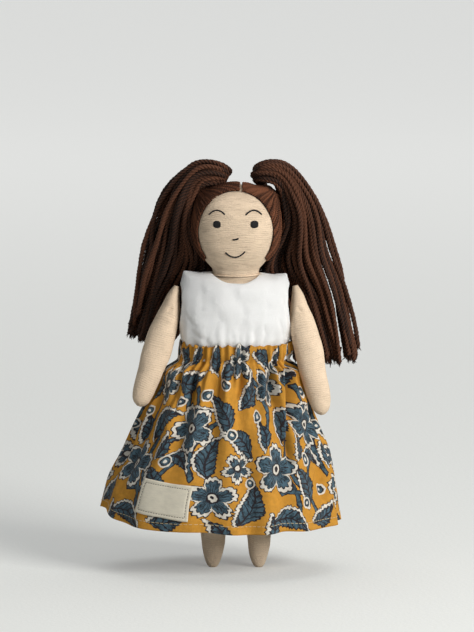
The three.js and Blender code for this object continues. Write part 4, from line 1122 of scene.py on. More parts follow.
TOP = Form(148.5, 71.2, 42.5, 23.5, [
    (0, 0.82, 0.82, 2.1), (0.17, 0.83, 0.83, 2.1), (0.27, 0.9, 0.93, 2.2), (0.35, 0.935, 1, 2.3),
    (0.46, 0.965, 1, 2.3), (0.6, 1, 0.98, 2.2), (0.74, 0.985, 0.92, 2.2), (0.84, 0.95, 0.87, 2),
    (0.895, 0.925, 0.79, 1.9), (0.945, 0.905, 0.67, 1.8), (0.975, 0.893, 0.5, 1.7), (0.993, 0.885, 0.27, 1.6),
    (1, 0.88, 0.0, 1.6),
], x=-0.6)
NECK_HALF = (18.2, 17.9, 17.2)  # half width, reach to the front and to the back
NECK_FLOOR = 205.0
ARMHOLE = (1.0, 194.5, 11.5, 17.0)  # middle y and z, half depth and half height
EDGE_POINTS = 400
PLACKET_STITCHES = 22
TOP_CREASES = (
    ([(33, 204), (35.5, 190), (36.5, 176)], 2.2, -0.9), ([(37.5, 199), (38.5, 186), (37.5, 172)], 1.6, 1.3),
    ([(31, 188), (34, 178), (35, 169)], 1.5, 0.9), ([(-34, 180), (-27, 174), (-20, 172)], 2.0, 0.8),
    ([(-38, 192), (-33, 184), (-28, 181)], 1.8, 0.6), ([(-16, 169), (-12, 178), (-11, 186)], 2.2, -0.6),
    ([(10, 169), (12, 181), (9, 190)], 2.4, -0.6), ([(0, 168), (-1, 176)], 1.6, 0.6),
    ([(20, 169), (22, 177), (20, 184)], 1.8, 0.6), ([(-26, 216), (-24, 205), (-22, 196)], 4.0, 0.5),
    ([(26, 215), (24, 204), (24, 194)], 4.0, 0.5),
)


def shoulder_drop(x, z):
    """How far the shoulders sink: more on the doll's left, and between the neck and each corner."""
    return (0.025 * x + 0.9 * hill(np.abs(x), 27, 6)) * smooth(z, 196, 214)


def top_wrinkles(points):
    """Soft gathers over the waist, puckers, and the folds that the photograph shows."""
    x, y, z = points.T
    angle = np.arctan2(x, -y)
    low = 1 - smooth(z, 168, 186)
    gathers = np.cos(angle * 26 + 1.5 * np.sin(angle * 3)) * 0.5 + np.cos(angle * 15 + 0.7) * 0.5
    push = 0.75 * low * gathers + 0.45 * ripple(points, 24, 91) + 0.12 * ripple(points, 8, 92)
    return push - creases(points, TOP_CREASES, smooth(-y, -4, 8))


def top_mesh():
    """The top's cloth, with its neck hole and armholes cut out and their edges trimmed smooth."""
    shares = even_shares(TOP, 0, 1200, 601)
    top_z = TOP.foot + TOP.height

    def place(u, v):
        share = np.interp(v, np.linspace(0, 1, 601), shares)
        points = TOP.surface((u * 2 - 1) * math.pi, TOP.foot + TOP.height * share)
        out = unit(points * (1, 1, 0), 1)
        calm = 1 - smooth(points[:, 2], 208, 217)
        points += out * (top_wrinkles(points) * (0.25 + 0.75 * calm))[:, None]
        points[:, 2] -= shoulder_drop(points[:, 0], points[:, 2])
        return points

    bm = sheet_mesh(240, 110, place, (226, 92), merge=False)
    # the two edges of the slit behind are moved a little apart
    slit_x, behind, _ = in_frame((TOP.x, 12, 0))
    slit = [v for v in bm.verts if v.is_boundary and v.co.y > behind and abs(v.co.x - slit_x) < 0.0004]
    left_edge = {v for v in slit if any(f.calc_center_median().x > slit_x for f in v.link_faces)}
    for vert in slit:
        vert.co.x += 0.00045 if vert in left_edge else -0.00045
    crown = [v for v in bm.verts if v.co.z > (top_z - 2.5) * 0.001]
    bmesh.ops.remove_doubles(bm, verts=crown, dist=1e-5)
    bmesh.ops.recalc_face_normals(bm, faces=bm.faces)

    def neck(co):
        """Below 1 inside the neck hole."""
        x, y, z = in_doll(co)
        along, ahead = abs(x / NECK_HALF[0]), abs(y / (NECK_HALF[1] if y < 0 else NECK_HALF[2]))
        return (along**2.5 + ahead**2.5) ** 0.4 if z > NECK_FLOOR else 9

    def arm(co):
        """Below 1 inside an armhole."""
        x, y, z = in_doll(co)
        if abs(x) < 28:
            return 9
        return math.hypot((y - ARMHOLE[0]) / ARMHOLE[2], (z - ARMHOLE[1]) / ARMHOLE[3])

    gone = [f for f in bm.faces if min(neck(f.calc_center_median()), arm(f.calc_center_median())) < 1]
    bmesh.ops.delete(bm, geom=gone, context="FACES")
    for vert in bm.verts:
        if not vert.is_boundary:
            continue
        x, y, z = in_doll(vert.co)
        if neck(vert.co) < 1.2:
            k = 1 / max(neck(vert.co), 0.5)
            x, y = x * k, y * k
            low, high = NECK_FLOOR, top_z
            for _ in range(30):
                mid = (low + high) / 2
                inside = TOP.fullness(np.array((x, y, mid))) < 1
                low, high = (mid, high) if inside else (low, mid)
            vert.co = in_frame((x, y, low - shoulder_drop(x, low)))
        elif arm(vert.co) < 1.25:
            k = 1 / max(arm(vert.co), 0.5)
            y, z = ARMHOLE[0] + (y - ARMHOLE[0]) * k, ARMHOLE[1] + (z - ARMHOLE[1]) * k
            w, d, q = TOP.sizes(z)
            side = w * max(0.0, 1 - (abs(y) / d) ** q) ** (1 / q)
            vert.co = in_frame((TOP.x + math.copysign(side, x), y, z))
    for _ in range(2):
        near = [v for v in bm.verts if not v.is_boundary and min(neck(v.co), arm(v.co)) < 1.3]
        bmesh.ops.smooth_vert(
            bm, verts=near, factor=0.5, use_axis_x=True, use_axis_y=True, use_axis_z=True
        )
    return bm


def hole_edges(bm):
    """The closed loops of points round the openings, each in order, in millimetres."""
    edges = dict.fromkeys(e for e in bm.edges if e.is_boundary)
    loops = []
    while edges:
        edge, _ = edges.popitem()
        run = [edge.verts[0], edge.verts[1]]
        while True:
            step = next((e for e in run[-1].link_edges if e in edges), None)
            if step is None:
                break
            del edges[step]
            run.append(step.other_vert(run[-1]))
        loops.append(in_doll([v.co for v in run]))
    return loops


class DOLL_OT_top(bpy.types.Operator):
    """Makes the sleeveless linen top with its turned edges and its buttoned back"""

    bl_idname = "doll.top"
    bl_label = "Linen top"

    def execute(self, context):
        cloth = context.scene.doll_linen
        linen = white_linen("white linen", cloth)
        bm = top_mesh()
        edges = [evenly(calmed(loop, 3), EDGE_POINTS) for loop in hole_edges(bm) if len(loop) >= 40]
        top = finish_piece("top_cloth", bm, linen, "white_linen", "torso", "top")
        give_wall(top, cloth.top_wall)
        wide = 1.25 + 0.12 * ripple(np.concatenate(edges), 9, 95).reshape(len(edges), EDGE_POINTS)
        rolled = strands(edges, wide, sides=8, steps=300, seed=96)
        finish_piece("top_turned_edges", rolled, linen, "white_linen", "torso")
        return {"FINISHED"}


class DOLL_OT_back_fastening(bpy.types.Operator):
    """Makes the placket behind and gives the buttons their finish"""

    bl_idname = "doll.back_fastening"
    bl_label = "Placket and buttons"

    def execute(self, context):
        cloth = context.scene.doll_linen
        linen = white_linen("placket linen", cloth)
        low, high = in_doll(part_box("back_placket"))

        def place(u, v):
            x = low[0] + (high[0] - low[0]) * u
            z = low[2] + (high[2] - low[2]) * v
            edge = from_edge(u, v, 10, 46)
            y = TOP.depth_at(x, z) + 1.15 - 0.5 * hill(edge, 0, 0.5) - 0.18 * hill(edge, 1.4, 0.35)
            points = np.stack((x, y, z), -1)
            points[:, 1] += 0.12 * ripple(points, 7, 97)
            return points

        mesh = sheet_mesh(36, 120, place, (10, 46))
        placket = finish_piece("placket_cloth", mesh, linen, "white_linen", "torso", "back_placket")
        give_wall(placket, 0.8)
        shell = shell_finish("shell button", from_screen(240, 235, 224))
        for number in (1, 2, 3):
            give_finish(f"back_button_{number}", shell)
        paths = []
        for x in ((low[0] + high[0]) / 2 - 3.9, (low[0] + high[0]) / 2 + 3.9):
            for k in range(PLACKET_STITCHES):
                share = (k + np.linspace(0.12, 0.88, 7)) / PLACKET_STITCHES
                z = low[2] + 1.6 + (high[2] - low[2] - 3.2) * share
                paths.append(np.stack((0 * z + x, TOP.depth_at(x, z) + 1.12 - 0.35 * dip(7), z), -1))
        white = thread_finish("white thread", from_screen(238, 236, 232))
        mesh = strands(paths, 0.34, sides=5, steps=8)
        finish_piece("placket_stitches", mesh, white, "white_linen", "torso")
        return {"FINISHED"}


# ---------------------------------------------------------------- skirt

# The print is drawn in millimetres on the cloth, on a piece that repeats round the skirt.
PRINT_WIDTH = 125.0
# middle across and up, turn in degrees, half length, half width, bend
PRINT_LEAVES = (
    (14, 22, 66, 19, 9.0, 0.08), (47, 10, -18, 17, 8.0, -0.10), (66, 38, 112, 18, 8.6, 0.09),
    (103, 60, 78, 18, 8.6, -0.08), (84, 8, 24, 15, 7.0, 0.10), (6, 74, 140, 16, 7.6, 0.10),
    (56, 88, 40, 18, 8.6, -0.10), (116, 96, 124, 17, 8.2, 0.08), (20, 108, 60, 16, 7.6, 0.11),
    (76, 116, 8, 17, 8.0, 0.08), (100, 136, 98, 14, 7.0, -0.10), (44, 138, 152, 15, 7.2, 0.10),
    (30, 78, 96, 12, 5.8, 0.12), (82, 58, -30, 11, 5.4, -0.12), (116, 2, 120, 12, 5.8, 0.12),
    (14, 141, 20, 12, 5.6, 0.1), (72, 139, 60, 12, 6, 0.1), (120, 128, 40, 12, 5.8, -0.1),
    (66, 66, 70, 11, 5.4, 0.12), (92, 94, 30, 11, 5.2, -0.12), (30, 4, 84, 11, 5.4, 0.10),
)
# middle across and up, turn in degrees, radius
PRINT_FLOWERS = (
    (36, 50, 10, 21.5), (88, 82, 46, 20.5), (110, 28, 20, 18.5), (42, 114, 64, 17), (8, 134, 30, 15),
    (2, 52, 50, 12.5),
)
# middle across and up, radius
PRINT_BUDS = (
    (70, 56, 3.8), (62, 22, 3.4), (12, 40, 3.0), (122, 78, 3.6), (24, 92, 3.4), (70, 102, 3.2), (98, 108, 3.6),
    (116, 116, 3.2), (86, 30, 3.4), (58, 128, 3.2),
)
# middle across and up, radius, middle of the arc in degrees, half of the arc
PRINT_STEMS = (
    (20, 20, 34, 40, 52), (74, 56, 26, 200, 62), (120, 58, 30, 150, 64), (60, 100, 30, 330, 58),
    (8, 96, 28, 20, 60), (98, 110, 24, 215, 64), (50, 6, 26, 60, 56), (92, 36, 24, 110, 52),
    (30, 132, 22, 300, 60),
)


def printed_cotton(name, skirt):
    """Cotton printed by hand with generic flowers, serrated leaves, buds and stems."""
    f = Finish(name, roughness=0.85, sheen=0.12, sheen_tint=skirt.ground)
    cloth = f.cloth()
    wobble = f.vector("SUBTRACT", f.noise(cloth, 0.16, detail=3, out="Color"), (0.5, 0.5, 0.5))
    hand = f.vector("ADD", cloth, f.vector("SCALE", wobble, 5.0))
    across, up = f.part(hand, "X"), f.part(hand, "Y")
    jag = f.noise(cloth, 0.7)

    def local(x, y):
        """Millimetres from a motif's middle, repeated round the skirt."""
        return (across - x).math("WRAP", PRINT_WIDTH / 2, -PRINT_WIDTH / 2), up - y

    def turned(dx, dy, degrees):
        c, s = math.cos(math.radians(degrees)), math.sin(math.radians(degrees))
        return dx * c + dy * s, dy * c - dx * s

    def distance(dx, dy):
        return (dx * dx + dy * dy).math("SQRT")

    # each motif is a height that is above 0 inside it
    stems, leaves, veins, halos, buds, dots, flowers, streaks, hearts = [[] for _ in range(9)]
    for x, y, radius, middle, half in PRINT_STEMS:
        dx, dy = local(x, y)
        far = distance(dx, dy)
        ahead, _ = turned(dx, dy, middle)
        within = ahead - far * math.cos(math.radians(half))
        stems.append((2.2 - abs(far - radius)).least(within))
    for x, y, degrees, length, width, bend_by in PRINT_LEAVES:
        px, py = turned(*local(x, y), degrees)
        py = py - px * px * (bend_by / 4)
        t = (px / length).most(-1.4).least(1.4)
        shape = (1.0 - t * t) * t.times(-0.38, 1.0)
        teeth = (px + py * 0.3).math("PINGPONG", 1.5) * 0.75
        side = abs(py)
        inside = shape.times(width, teeth * -1.0) - side
        leaves.append(inside)
        slant = side.times(-0.8, px + 40.0).math("PINGPONG", 2.4)
        veins.append((0.75 - side).most(0.6 - slant).least(inside - 0.9))
        reach = abs(t).times(-length, 1.1 * length)
        halos.append((inside + 2.3).least(py + 1.0).least(reach))
    for x, y, radius in PRINT_BUDS:
        far = distance(*local(x, y))
        buds.append(radius - far)
        dots.append(radius * 0.36 - far)
    for x, y, degrees, radius in PRINT_FLOWERS:
        px, py = turned(*local(x, y), degrees)
        far = distance(px, py)
        angle = py.math("ARCTAN2", px)
        petal = abs((angle * 2.5).cosine()).math("POWER", 0.55)
        scallop = abs((angle * 12.5).sine())
        edge = petal.times(radius * 0.5, scallop.times(1.6, radius * 0.42))
        flowers.append(edge - far)
        ray = 0.42 - abs(jag.times(1.4, angle * 15.0).sine())
        streaks.append(ray.least(edge - (far + radius * 0.36)))
        hearts.append(radius * 0.2 - far)

    def highest(values, amount):
        """The highest of the motifs' heights, with a rough edge."""
        result = values[0]
        for value in values[1:]:
            result = result.most(value)
        return result + rough * amount

    rough = jag.times(1.0, -0.5)
    stem, leaf, vein = highest(stems, 0.5), highest(leaves, 0.5), highest(veins, 0.35)
    halo, bud, dot = highest(halos, 1.2), highest(buds, 0.3), highest(dots, 0.2)
    flower, streak, heart = highest(flowers, 0.8), highest(streaks, 0.25), highest(hearts, 0.3)

    wash = f.noise(cloth, 0.22, detail=4, roughness=0.6)
    fleck = f.noise(cloth, 1.6, detail=3, roughness=0.7)
    tone = wash * 0.65 + fleck * 0.35
    base = f.tone(skirt.ground, f.steps(tone, 0.35, 0.65), 0.9, 1.08)
    blue = f.tone(skirt.leaf, f.steps(tone, 0.38, 0.6), 0.28, 1.35)
    dark = f.tone(skirt.outline, f.steps(fleck, 0.35, 0.7), 0.7, 1.6)
    light = f.tone(skirt.light, f.steps(tone, 0.35, 0.6), 0.8, 1.05)
    # the inks are laid one over the other, each from a height of its motif upwards
    for height, low, ink in (
        (stem, 0.0, dark), (stem, 0.95, blue), (halo, -0.8, dark), (halo, 0.0, light), (leaf, -0.2, dark),
        (leaf, 0.95, blue), (vein, 0.0, dark), (bud, -1.3, light), (bud, 0.0, dark), (bud, 0.9, blue),
        (dot, 0.0, light), (flower, 0.0, dark), (flower, 1.15, light), (flower, 3.7, dark),
        (flower, 4.7, blue), (streak, 0.0, dark), (heart, -0.8, dark), (heart, 0.5, light), (heart, 2.3, dark),
    ):
        soft = 0.1 if height is streak else 0.14
        base = f.mix(f.steps(height, low - soft, low + soft), base, ink)
    weave = f.weave(cloth, 0.32)
    # painted shade: the colour is mixed a little towards near black where the weave lies low between the threads
    base = f.mix((1.0 - weave) * 0.1, base, (0.05, 0.04, 0.03))
    crush = f.noise(f.scaled(cloth, 0.16, 0.1), detail=3)
    return f.done(base, f.bump(crush, 0.0011, f.bump(weave + f.noise(cloth, 2.6), 0.00012)))


SKIRT_TOP, SKIRT_LENGTH = 168.0, 133.0
LABEL_ANGLE = math.radians(-34)
SKIRT_ROWS = Table([
    (0, -0.06, -0.02, 0, 0, 0.14), (0.045, -0.07, -0.02, -0.02, -0.02, 0.14),
    (0.094, -0.07, 0.015, -0.06, -0.07, 0.14),
    (0.15, 0.1, 0.165, 0.06, 0.06, 0.3), (0.26, 0.2, 0.29, 0.28, 0.25, 0.52), (0.38, 0.36, 0.44, 0.5, 0.46, 0.76),
    (0.49, 0.53, 0.55, 0.65, 0.62, 0.92), (0.62, 0.74, 0.68, 0.8, 0.77, 1), (0.8, 0.88, 0.89, 0.92, 0.91, 1),
    (1, 1, 1, 1, 1, 1),
])
SKIRT_FLAT = (0.5, 0.146)  # both halves, in metres
WAIST_WIDTH, HEM_LEFT, HEM_RIGHT = 42.6, 79, 100
WAIST_DEPTH, HEM_FRONT, HEM_BACK = 25.2, 65, 58
HEM_LIFT = 9  # on the doll's right
GATHER_LINE = 0.094
FOLDS, FOLD_DEPTH = 16, 4.6
HEM_STITCHES = 78  # on each half
SKIRT_CREASES = (
    ([(39.5, 160), (39.5, 140), (40.5, 118), (40, 96), (41, 80)], 2.4, 6.5),
    ([(45, 152), (48, 135), (50, 118)], 3.2, -2.4), ([(33, 152), (34.5, 135), (34, 116), (35, 100)], 3.0, -1.4),
    ([(-32, 152), (-31.5, 136), (-33, 118)], 2.4, 1.8), ([(-14, 153), (-12, 140), (-13, 126)], 1.8, 2.4),
    ([(3.5, 153), (3, 142), (0, 130)], 1.8, 2.6), ([(26, 154), (25, 142), (23, 126)], 1.8, 2.2),
    ([(-40, 154), (-42, 138), (-46, 120)], 1.8, 2.4), ([(12, 134), (22, 128), (32, 127)], 2.4, 1.3),
    ([(18, 152), (16, 138), (12, 124)], 2.4, 1.3),
    ([(-52, 140), (-58, 122), (-68, 100), (-80, 76), (-88, 60)], 3.2, 2.8),
    ([(-44, 148), (-47, 128), (-52, 108)], 3.0, -1.5), ([(-24, 120), (-28, 96), (-30, 74)], 4.0, 1.2),
    ([(8, 110), (6, 88), (8, 62)], 5.0, 1.0), ([(52, 112), (58, 92), (62, 70), (66, 50)], 3.2, 2.2),
    ([(26, 100), (30, 78), (31, 56)], 4.5, 1.1),
)


def skirt_ring(angle, share):
    """The skirt's own shape without its small folds, and the way outwards from it."""
    left, right, front, back, fold = np.moveaxis(SKIRT_ROWS.at(share), -1, 0)
    s, c = np.sin(angle), np.cos(angle)
    width = WAIST_WIDTH + np.where(s > 0, (HEM_LEFT - WAIST_WIDTH) * left, (HEM_RIGHT - WAIST_WIDTH) * right)
    depth = WAIST_DEPTH + np.where(c > 0, (HEM_FRONT - WAIST_DEPTH) * front, (HEM_BACK - WAIST_DEPTH) * back)
    z = SKIRT_TOP - SKIRT_LENGTH * share + HEM_LIFT * share**3 * np.maximum(-s, 0) ** 4
    out = unit(np.stack((s / width, -c / depth, 0 * s), -1))
    return np.stack((width * s, -depth * c, z), -1), out, fold


def waves(angle, share, number, spread, drift, seed):
    """Uneven folds round the skirt, about so many of them, that wander as they fall."""
    rng = np.random.default_rng(seed)
    total = np.zeros(angle.shape)
    for k in range(-spread, spread + 1):
        weight = math.exp(-((k / max(spread, 1)) ** 2))
        total += weight * np.cos((number + k) * angle + rng.uniform(0, 2 * math.pi) + drift * rng.normal() * share)
    return total / math.sqrt(2 * spread + 1) * 1.4


def fine_gathers(angle, share, skirt):
    """The close gathers at the waist, deep in some places and almost open in others."""
    fine = waves(angle, share, skirt.gathers, 8, 1.5, 101)
    return fine * (0.65 + 0.5 * waves(angle, 0 * share, 7, 4, 0, 127))


def medium_folds(angle, share):
    return waves(angle, share, 19, 4, 2.0, 103)


def skirt_surface(angle, share, skirt):
    """The skirt's cloth: gathers at the waist that open into folds at the hem."""
    base, out, fold = skirt_ring(angle, share)
    # the label holds the cloth under it flat
    free = 1 - 0.85 * hill(angle, LABEL_ANGLE, 0.42) * smooth(share, 0.5, 0.75)
    turn = FOLDS * angle + 0.8 * np.sin(3 * angle + 1) + 0.6
    push = -FOLD_DEPTH * fold * free * (0.5 - 0.5 * np.cos(turn))
    fine = fine_gathers(angle, share, skirt)
    near_waist = (1 - smooth(share, 0.12, 0.42)) * (0.95 + 0.3 * smooth(share, GATHER_LINE, 0.16))
    push += skirt.gather * np.sign(fine) * np.abs(fine) ** 0.8 * near_waist
    below_waist = smooth(share, 0.1, 0.25) * (1 - 0.7 * smooth(share, 0.4, 0.9))
    push += 2.7 * medium_folds(angle, share) * below_waist * free
    push += 0.9 * waves(angle, share, 8, 3, 1.0, 107) * smooth(share, 0.3, 0.8) * free
    # the casing's seam draws the cloth in between the frill and the fullness under it
    push += 0.8 * hill(share, 0.045, 0.03) - 0.7 * hill(share, GATHER_LINE, 0.016)
    push += 1.4 * hill(share, 0.15, 0.035) * (0.6 + 0.4 * fine)
    points = base + out * push[..., None]
    pressed = creases(points, SKIRT_CREASES, 1.3 * smooth(-points[..., 1], -4, 10))
    points = points - out * pressed[..., None]
    frill = 1 - smooth(share, 0.0, GATHER_LINE)
    points[..., 2] += frill * (0.9 * waves(angle, share, 30, 5, 0, 109) + 0.5 * ripple(points, 9, 110))
    points[..., 2] += 0.9 * share**2 * waves(angle, share, 7, 3, 0, 113)
    points[..., 2] += 0.35 * hill(share, GATHER_LINE, 0.03) * fine
    return points


def skirt_sheet(skirt):
    """The whole skirt, with its rows closer together near the waist."""
    columns, rows = 640, 148
    shares = np.linspace(0, 1, 2001)
    rate = 1 + 1.3 * hill(shares, 0.08, 0.09)
    run = np.concatenate(([0], np.cumsum((rate[1:] + rate[:-1]) / 2)))

    def place(u, v):
        share = np.interp(v * run[-1], run, shares)
        return skirt_surface((u * 2 - 1) * math.pi, share, skirt)

    bm = sheet_mesh(columns, rows, place, (1, 1))
    # cloth lies close together inside the gathers, so the print runs faster there
    levels = np.interp(np.linspace(0, run[-1], rows + 1), run, shares)
    turn, level = np.meshgrid((np.arange(columns) + 0.5) / columns * 2 * math.pi - math.pi, levels)
    fine = fine_gathers(turn, level, skirt)
    medium = medium_folds(turn, level)
    open_by = smooth(level, 0.1, 0.6)
    rate = 1 - (1 - open_by) * (0.42 * np.clip(fine, -1.4, 1.4) + 0.25 * np.clip(medium, -1.2, 1.2))
    cloth_u = np.hstack((np.zeros((rows + 1, 1)), np.cumsum(rate, axis=1)))
    cloth_u *= SKIRT_FLAT[0] * 1000 / cloth_u[:, -1:]
    uv = bm.loops.layers.uv["cloth"]
    for one in bm.faces:
        for loop in one.loops:
            here = loop[uv].uv
            row, column = round(here.y * rows), round(here.x * columns)
            loop[uv].uv = (cloth_u[row, column], (1 - levels[row]) * SKIRT_FLAT[1] * 1000)
    outwards(bm)
    return bm


def skirt_follow(hand):
    """How far the skirt's cloth follows the leg under it, from the hip to the hem."""

    def share(points):
        x, y, z = points.T
        down = smooth(-z, -118, -52)
        beside = smooth(hand * x, 0, 34)
        return down * beside * (0.55 + 0.45 * smooth(-y, -40, 5))

    return share


class DOLL_OT_skirt(bpy.types.Operator):
    """Makes the gathered skirt with its frill, its elastic and its hem"""

    bl_idname = "doll.skirt"
    bl_label = "Printed skirt"

    def execute(self, context):
        skirt = context.scene.doll_skirt
        print_cloth = printed_cotton("printed cotton", skirt)
        bm = skirt_sheet(skirt)
        whole = bpy.data.meshes.new("whole skirt")
        bm.to_mesh(whole)
        normals = {tuple(round(c, 6) for c in v.co): v.normal.copy() for v in whole.vertices}
        middle = in_frame((0, 0, 0))[0]
        for hand, side in HANDS.items():
            half = bm.copy()
            other = [f for f in half.faces if (f.calc_center_median().x - middle) * hand < 0]
            bmesh.ops.delete(half, geom=other, context="FACES")
            piece = finish_piece(f"{side}_skirt_cloth", half, print_cloth, "printed_cotton", None, "skirt")
            give_wall(piece, skirt.wall)
            made = np.array([v.normal for v in piece.data.vertices])
            for vert in piece.data.vertices:
                if abs(vert.co.x - middle) < 2e-5:
                    found = normals.get(tuple(round(c, 6) for c in vert.co))
                    if found:
                        made[vert.index] = found
            piece.data.shade_smooth()
            piece.data.normals_split_custom_set_from_vertices([tuple(n) for n in made])
            bend(piece, skirt_follow(hand))
        bm.free()
        bpy.data.meshes.remove(whole)
        give_finish("waist_elastic", band_finish("waist elastic", from_screen(240, 238, 234)))
        pale = thread_finish("hem thread", from_screen(214, 192, 150))
        for hand, side in HANDS.items():
            paths = []
            for k in range(HEM_STITCHES):
                angle = (k + np.linspace(0.14, 0.86, 9)) / HEM_STITCHES * math.pi * hand
                share = 1 - 6 / SKIRT_LENGTH - 0 * angle
                _, out, _ = skirt_ring(angle, share)
                paths.append(skirt_surface(angle, share, skirt) + out * (0.16 - 0.3 * dip(9)[:, None]))
            mesh = strands(paths, 0.42, sides=5, steps=10)
            stitches = finish_piece(f"{side}_hem_stitches", mesh, pale, "pale_thread", None, "hem_thread")
            bend(stitches, skirt_follow(hand))
        return {"FINISHED"}


LABEL_Z, LABEL_TILT = 58.0, math.radians(3.5)
LABEL_WIDTH, LABEL_HEIGHT = 42, 26


def label_surface(across, up, skirt, lift):
    """A point of the label, so many millimetres along and up from its middle, lying over the folds."""
    turned_x = across * math.cos(LABEL_TILT) + up * math.sin(LABEL_TILT)
    turned_z = -across * math.sin(LABEL_TILT) + up * math.cos(LABEL_TILT)
    turn = np.linspace(LABEL_ANGLE - 0.7, LABEL_ANGLE + 0.7, 400)
    share = (SKIRT_TOP - LABEL_Z - turned_z) / SKIRT_LENGTH
    ring, _, _ = skirt_ring(turn, np.full(400, (SKIRT_TOP - LABEL_Z) / SKIRT_LENGTH))
    run = lengths(ring)
    angle = np.interp(turned_x + np.interp(LABEL_ANGLE, turn, run), run, turn)
    base, out, _ = skirt_ring(angle, share)
    # it lies between the cloth right under it and the highest fold close by
    heights = []
    for shift in (0, -0.05, -0.025, 0.025, 0.05):
        spot = skirt_surface(angle + shift, share, skirt)
        near, _, _ = skirt_ring(angle + shift, share)
        heights.append(((spot - near) * out).sum(-1) * (1 - abs(shift) * 4))
    return base + out * (0.5 * heights[0] + 0.5 * np.max(heights, axis=0) + lift)[..., None]


class DOLL_OT_label(bpy.types.Operator):
    """Makes the bare tape label with its running stitches"""

    bl_idname = "doll.label"
    bl_label = "Tape label"

    def execute(self, context):
        skirt = context.scene.doll_skirt
        tape = tape_finish("label tape", skirt.label)

        def place(u, v):
            edge = from_edge(u, v, LABEL_WIDTH, LABEL_HEIGHT)
            lift = 1.25 - 0.5 * hill(edge, 0, 0.45) - 0.25 * hill(edge, 2.6, 0.7)
            across = (u - 0.5) * (LABEL_WIDTH - 0.6 * np.cos((v - 0.5) * 5))
            up = (v - 0.5) * LABEL_HEIGHT + 0.35 * np.sin(u * 9) * (v - 0.5)
            return label_surface(across, up, skirt, lift)

        mesh = sheet_mesh(110, 70, place, (LABEL_WIDTH, LABEL_HEIGHT))
        outwards(mesh)
        label = finish_piece("label_tape", mesh, tape, "label_tape", None, "label")
        give_wall(label, 0.6)
        paths = []
        corners = np.array([(-18.4, -10.4), (18.4, -10.4), (18.4, 10.4), (-18.4, 10.4), (-18.4, -10.4)])
        for start, end in zip(corners, corners[1:]):
            count = int(round(np.linalg.norm(end - start) / 2.1))
            for k in range(count):
                share = (k + np.linspace(0.2, 0.8, 7)) / count
                across, up = (start + np.outer(share, end - start)).T
                paths.append(label_surface(across, up, skirt, 1.12 - 0.35 * dip(7)))
        dark = thread_finish("label thread", from_screen(70, 60, 56))
        mesh = strands(paths, 0.4, sides=5, steps=8)
        stitches = finish_piece("label_stitches", mesh, dark, "black_thread", None, "label_stitching")
        for piece in (label, stitches):
            bend(piece, skirt_follow(RIGHT))
        return {"FINISHED"}


# ---------------------------------------------------------------- stage


def camera_sees(tree):
    """One where a ray comes from the camera, a mirror or a glass, and nought elsewhere."""
    path = tree.nodes.new("ShaderNodeLightPath")
    result = path.outputs["Is Camera Ray"]
    for ray in ("Is Glossy Ray", "Is Transmission Ray"):
        either = tree.nodes.new("ShaderNodeMath")
        either.operation = "MAXIMUM"
        tree.links.new(result, either.inputs[0])
        tree.links.new(path.outputs[ray], either.inputs[1])
        result = either.outputs[0]
    return result


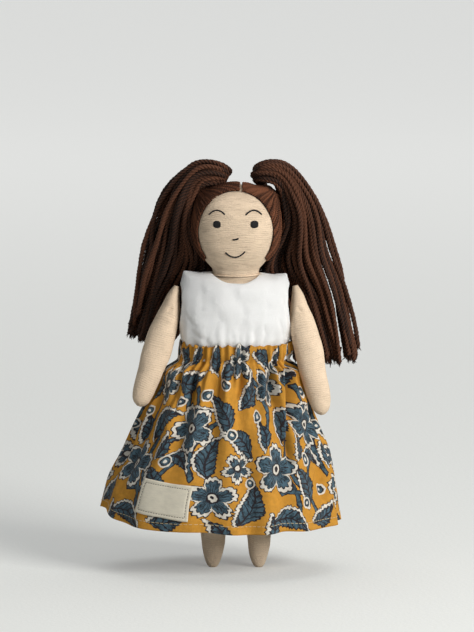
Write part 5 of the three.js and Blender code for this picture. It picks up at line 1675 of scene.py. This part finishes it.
class DOLL_OT_stage(bpy.types.Operator):
    """Makes the pale floor, the lights and the camera"""

    bl_idname = "doll.stage"
    bl_label = "Stage, lights and camera"

    def execute(self, context):
        stage = context.scene.doll_stage
        bm = bmesh.new()
        bmesh.ops.create_grid(bm, x_segments=8, y_segments=8, size=8)
        paper = Finish("backdrop paper", roughness=0.95)
        grain = paper.noise(paper.place(300), detail=3)
        paper.done(paper.tone(stage.floor, grain, 0.985, 1.01), paper.bump(grain, 0.0002))
        # painted light: the paper glows for the camera alone, so it and the shadows on it look a little lighter,
        # and more so away from the lamps
        paper.shader.inputs["Emission Color"].default_value = (0.22, 0.22, 0.216, 1)
        far = paper.node("VectorMath", {0: paper.place(1)}, out="Value", operation="LENGTH")
        seen = Value(paper, camera_sees(paper.tree))
        paper.feed(paper.shader.inputs["Emission Strength"], seen * paper.steps(far, 0.2, 3.2).times(1.6, 1.0))
        mesh = bpy.data.meshes.new("backdrop")
        bm.to_mesh(mesh)
        bm.free()
        mesh.shade_smooth()
        mesh.materials.append(paper.material)
        floor = bpy.data.objects.new("backdrop", mesh)
        context.scene.collection.objects.link(floor)

        world = bpy.data.worlds.new("studio")
        context.scene.world = world
        world.use_nodes = True
        tree = world.node_tree
        light = tree.nodes["Background"]
        light.inputs[0].default_value = (0.9, 0.95, 1.0, 1)
        light.inputs[1].default_value = 0.17
        pale = tree.nodes.new("ShaderNodeBackground")
        pale.inputs[0].default_value = (0.71, 0.715, 0.69, 1)
        choice = tree.nodes.new("ShaderNodeMixShader")
        tree.links.new(camera_sees(tree), choice.inputs[0])
        tree.links.new(light.outputs[0], choice.inputs[1])
        tree.links.new(pale.outputs[0], choice.inputs[2])
        tree.links.new(choice.outputs[0], tree.nodes["World Output"].inputs["Surface"])

        for name, power, size, place, aim, tint in (
            ("key light", stage.key, 1.0, (1.45, -1.3, 1.0), (0, 0, 0.15), (1, 0.985, 0.96)),
            ("fill light", stage.fill, 1.4, (-1.4, -0.9, 0.8), (0, 0, 0.16), (0.94, 0.97, 1)),
            ("top light", stage.key * 0.3, 1.6, (0.2, 0.7, 2.0), (0, 0.5, 0), (1, 1, 1)),
        ):
            light = bpy.data.lights.new(name, "AREA")
            light.energy, light.size, light.color = power, size, tint
            lamp = bpy.data.objects.new(name, light)
            lamp.location = place
            lamp.rotation_euler = (Vector(aim) - Vector(place)).to_track_quat("-Z", "Y").to_euler()
            context.scene.collection.objects.link(lamp)

        lens = bpy.data.cameras.new("camera")
        lens.sensor_fit, lens.sensor_height = "VERTICAL", 36
        lens.lens = 36 * stage.distance * 1000 / 465.8
        camera = bpy.data.objects.new("camera", lens)
        aim = Vector((0.0051, 0.0034, 0.1875))
        back = Vector((0, -math.cos(stage.rise), math.sin(stage.rise)))
        camera.location = aim + back * stage.distance
        camera.rotation_euler = (-back).to_track_quat("-Z", "Y").to_euler()
        context.scene.collection.objects.link(camera)
        context.scene.camera = camera
        context.scene.view_settings.view_transform = "Standard"
        return {"FINISHED"}


class DOLL_PT_panel(bpy.types.Panel):
    """Lists the doll's pieces and sizes"""

    bl_idname = "DOLL_PT_panel"
    bl_label = "Cloth doll"
    bl_space_type = "VIEW_3D"
    bl_region_type = "UI"
    bl_category = "Cloth doll"

    def draw(self, context):
        for group, operators in LISTED:
            box = self.layout.box()
            settings = getattr(context.scene, group)
            for field in settings.bl_rna.properties:
                if field.identifier not in ("rna_type", "name"):
                    box.prop(settings, field.identifier)
            for operator in operators:
                box.operator(operator.bl_idname)


LISTED = (
    ("doll_linen", (DOLL_OT_body, DOLL_OT_head, DOLL_OT_top, DOLL_OT_back_fastening)),
    ("doll_hair", (DOLL_OT_hair_cap, DOLL_OT_bunches)),
    ("doll_skirt", (DOLL_OT_skirt, DOLL_OT_label)),
    ("doll_stage", (DOLL_OT_stage,)),
)
GROUPS = (("doll_linen", DollLinen), ("doll_hair", DollHair), ("doll_skirt", DollSkirt), ("doll_stage", DollStage))
OPERATORS = tuple(operator for _, operators in LISTED for operator in operators)


def register():
    for name, group in GROUPS:
        bpy.utils.register_class(group)
        setattr(bpy.types.Scene, name, bpy.props.PointerProperty(type=group))
    for kind in (*OPERATORS, DOLL_PT_panel):
        bpy.utils.register_class(kind)


def unregister():
    for kind in (DOLL_PT_panel, *reversed(OPERATORS)):
        bpy.utils.unregister_class(kind)
    for name, group in reversed(GROUPS):
        delattr(bpy.types.Scene, name)
        bpy.utils.unregister_class(group)


def main():
    register()
    bpy.ops.doll.stage()
    bpy.ops.doll.body()
    bpy.ops.doll.head()
    bpy.ops.doll.hair_cap()
    bpy.ops.doll.bunches()
    bpy.ops.doll.top()
    bpy.ops.doll.back_fastening()
    bpy.ops.doll.skirt()
    bpy.ops.doll.label()
    stuffing = stuffing_finish("stuffing", from_screen(240, 238, 232))
    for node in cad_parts:
        if node.endswith("_stuffing"):
            give_finish(node, stuffing)


if __name__ == "__main__":
    main()
